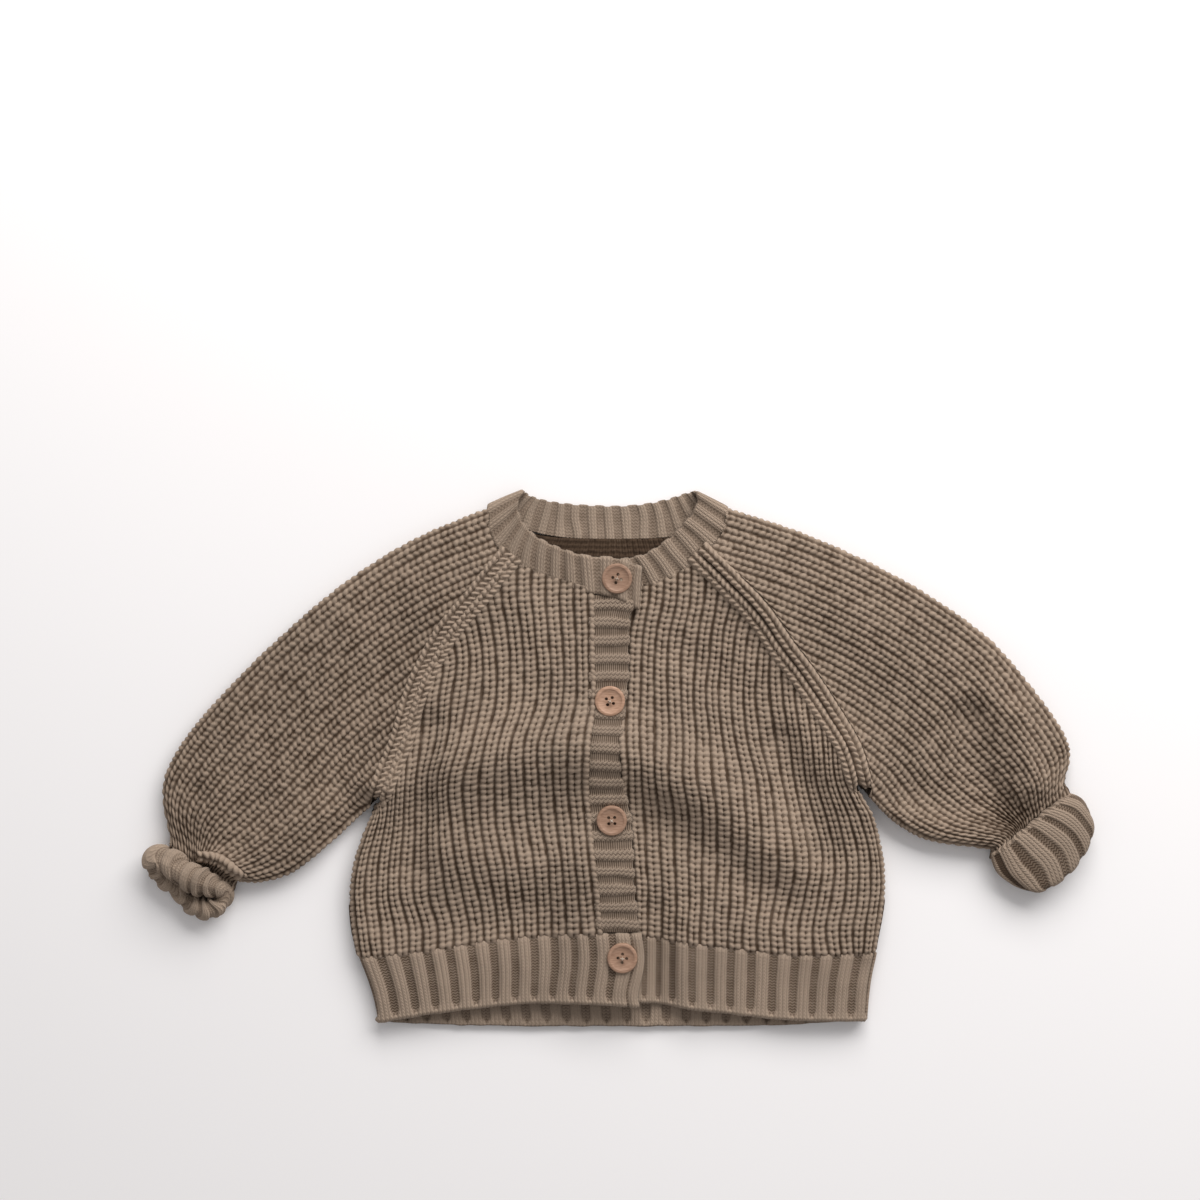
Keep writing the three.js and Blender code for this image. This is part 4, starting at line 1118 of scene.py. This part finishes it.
# Each button's x, y, turn and how light its wood colour is drawn: partly the wood's own tone, partly painted
# light, the second button's extra lightness a painted highlight.
BUTTONS = [(-1.3, 108.2, 30, 0.86), (-5.5, 35.1, 12, 1.24), (-4.4, -36.2, 2, 0.94), (1.9, -118.3, 42, 1.0)]
BUTTON_LIE = 2 * HALF - DROP + OVER + 0.5


def button_blank():
    """A turned disc with a raised rim, a shallow dish and four sewing holes."""
    bpy.ops.object.select_all(action="DESELECT")
    bpy.ops.mesh.primitive_cylinder_add(vertices=72, radius=BUTTON_RADIUS, depth=3.2 * MM,
                                        location=(0, 0, 1.6 * MM))
    blank = bpy.context.active_object
    bpy.ops.object.mode_set(mode="EDIT")
    bpy.ops.mesh.select_all(action="DESELECT")
    bpy.ops.mesh.select_mode(type="FACE")
    bpy.ops.object.mode_set(mode="OBJECT")
    for face in blank.data.polygons:
        face.select = face.normal.z > 0.9
    bpy.ops.object.mode_set(mode="EDIT")
    bpy.ops.mesh.inset(thickness=1.7 * MM, depth=0)
    bpy.ops.mesh.inset(thickness=0.7 * MM, depth=-0.55 * MM)
    bpy.ops.mesh.inset(thickness=3.0 * MM, depth=-0.2 * MM)
    bpy.ops.object.mode_set(mode="OBJECT")
    bevel = blank.modifiers.new("round", "BEVEL")
    bevel.width = 0.75 * MM
    bevel.segments = 4
    bevel.limit_method = "ANGLE"
    bevel.angle_limit = math.radians(40)
    bpy.ops.object.modifier_apply(modifier="round")
    for x in (-1, 1):
        for y in (-1, 1):
            bpy.ops.object.select_all(action="DESELECT")
            place = (x * 1.8 * MM, y * 1.8 * MM, 1.6 * MM)
            bpy.ops.mesh.primitive_cylinder_add(vertices=20, radius=0.95 * MM, depth=9 * MM, location=place)
            drill = bpy.context.active_object
            only(blank)
            cut = blank.modifiers.new("hole", "BOOLEAN")
            cut.operation = "DIFFERENCE"
            cut.object = drill
            cut.solver = "EXACT"
            bpy.ops.object.modifier_apply(modifier="hole")
            bpy.data.objects.remove(drill)
    bpy.ops.object.shade_smooth_by_angle(angle=math.radians(35))
    return blank


def thread_blank():
    """Sewing thread gathered in a small knot between the holes."""
    bpy.ops.object.select_all(action="DESELECT")
    strands = []
    for turn in (45, 135):
        bpy.ops.mesh.primitive_torus_add(major_segments=28, minor_segments=8, major_radius=1.05 * MM,
                                         minor_radius=0.3 * MM, location=(0, 0, 0),
                                         rotation=(math.pi / 2, 0, math.radians(turn)))
        strand = bpy.context.active_object
        strand.scale = (1.0, 1.0, 0.5)
        strand.location = (0, 0, 2.0 * MM)
        bpy.ops.object.transform_apply(location=True, rotation=True, scale=True)
        strands.append(strand)
    bpy.ops.object.select_all(action="DESELECT")
    for strand in strands:
        strand.select_set(True)
    bpy.context.view_layer.objects.active = strands[0]
    bpy.ops.object.join()
    bpy.ops.object.shade_smooth()
    return strands[0]


def buttons():
    thread = thread_material()
    blanks = [(button_blank(), "button"), (thread_blank(), "button_thread")]
    for number, (x, y, turn, tint) in enumerate(BUTTONS, 1):
        wood = wood_material(number, tint)
        for blank, kind in blanks:
            piece = blank.copy()
            piece.data = blank.data.copy()
            piece.name = f"{kind}_{number}_piece"
            bpy.context.scene.collection.objects.link(piece)
            piece.data.materials.clear()
            piece.data.materials.append(wood if kind == "button" else thread)
            only(piece)
            piece.rotation_euler = (math.radians(1.5), math.radians(-1.0), math.radians(turn))
            rise = 0.6 * float(fold_rise(np.array([float(x)]), np.array([float(y)]))[0])
            piece.location = (x * MM, y * MM, (BUTTON_LIE + max(rise, 0)) * MM)
            bpy.ops.object.transform_apply(location=True, rotation=True, scale=True)
            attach(piece, "root")
            if kind == "button":
                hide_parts(f"button_{number}")
    for blank, _ in blanks:
        bpy.data.objects.remove(blank)


# ---- go -----------------------------------------------------------------------------------------------
stage()
knit = yarn_material("chunky_yarn", 0.25)
rib = yarn_material("rib_yarn", 0.35, rib_stitches=True)
rib_neck = yarn_material("rib_yarn_neck", 0.35, rib_stitches=True, purl_depth=0.28)
rib_across = yarn_material("rib_yarn_across", 0.45, rib_stitches=True, zigzag=0.55)

right_front = front(RIGHT, RUN_RIGHT, HEM_SEAM_RIGHT, NECK_RIGHT, -1, ride_up)
right_front.make("front_right_knit", "front_right", "knit", knit)
left_front = front(LEFT, RUN_LEFT, HEM_SEAM_LEFT, NECK_LEFT, 1, 0.0)
left_front.make("front_left_knit", "front_left", "knit", knit)
right_sleeve = sleeve(RIGHT, ACROSS_RIGHT, -1, (0.52, 0.26, 0.3, 0.7))
right_sleeve.make("sleeve_right_knit", "sleeve_right", "knit", knit)
left_sleeve = sleeve(LEFT, ACROSS_LEFT, 1, (0.62, 0.2, 0.95, 0.6))
left_sleeve.make("sleeve_left_knit", "sleeve_left", "knit", knit)
back().make("back_knit", "back", "knit", knit)
right_hem = hem([(14, -103)] + HEM_SEAM_RIGHT, HEM_EDGE_RIGHT,
                [(13, -148), (12, -140), (15.5, -121), (13.5, -103)], side_below(RIGHT, -118),
                HEM_RIBS_RIGHT, -1, raise_by=ride_up, seed=5)
right_hem.make("hem_right_rib", "hem_rib_right", "rib", rib)
left_hem = hem([(-12, -105)] + HEM_SEAM_LEFT, HEM_EDGE_LEFT, [(-12, -146), (-12, -105)],
               side_below(LEFT, -115), HEM_RIBS_LEFT, 1, seed=6)
left_hem.make("hem_left_rib", "hem_rib_left", "rib", rib)
back_hem = hem([(-158, -118.5), (155, -115.5)],
               [(-146, -158), (-90, -160.5), (0, -161), (90, -160.5), (149, -157)],
               side_below(RIGHT, -118), side_below(LEFT, -115),
               [-2 + 12.15 * k for k in range(-13, 14)], 1, under=True, rolled_start=False, seed=7)
back_hem.make("hem_back_rib", "hem_rib_back", "rib", rib)
band(2 * HALF - DROP + OVER, 0.0, 12).make("buttonhole_band_rib", "buttonhole_band", "rib", rib_across)
band(2 * HALF - DROP, 1.5, 13, under=True).make("button_band_rib", "button_band", "rib", rib_across)
neck_strip().make("neckband_rib", "neckband", "rib", rib_neck)
turned_cuff().make("cuff_left_rib", "cuff_left", "rib", rib)
rolled_cuff().make("cuff_right_rib", "cuff_right", "rib", rib)
buttons()
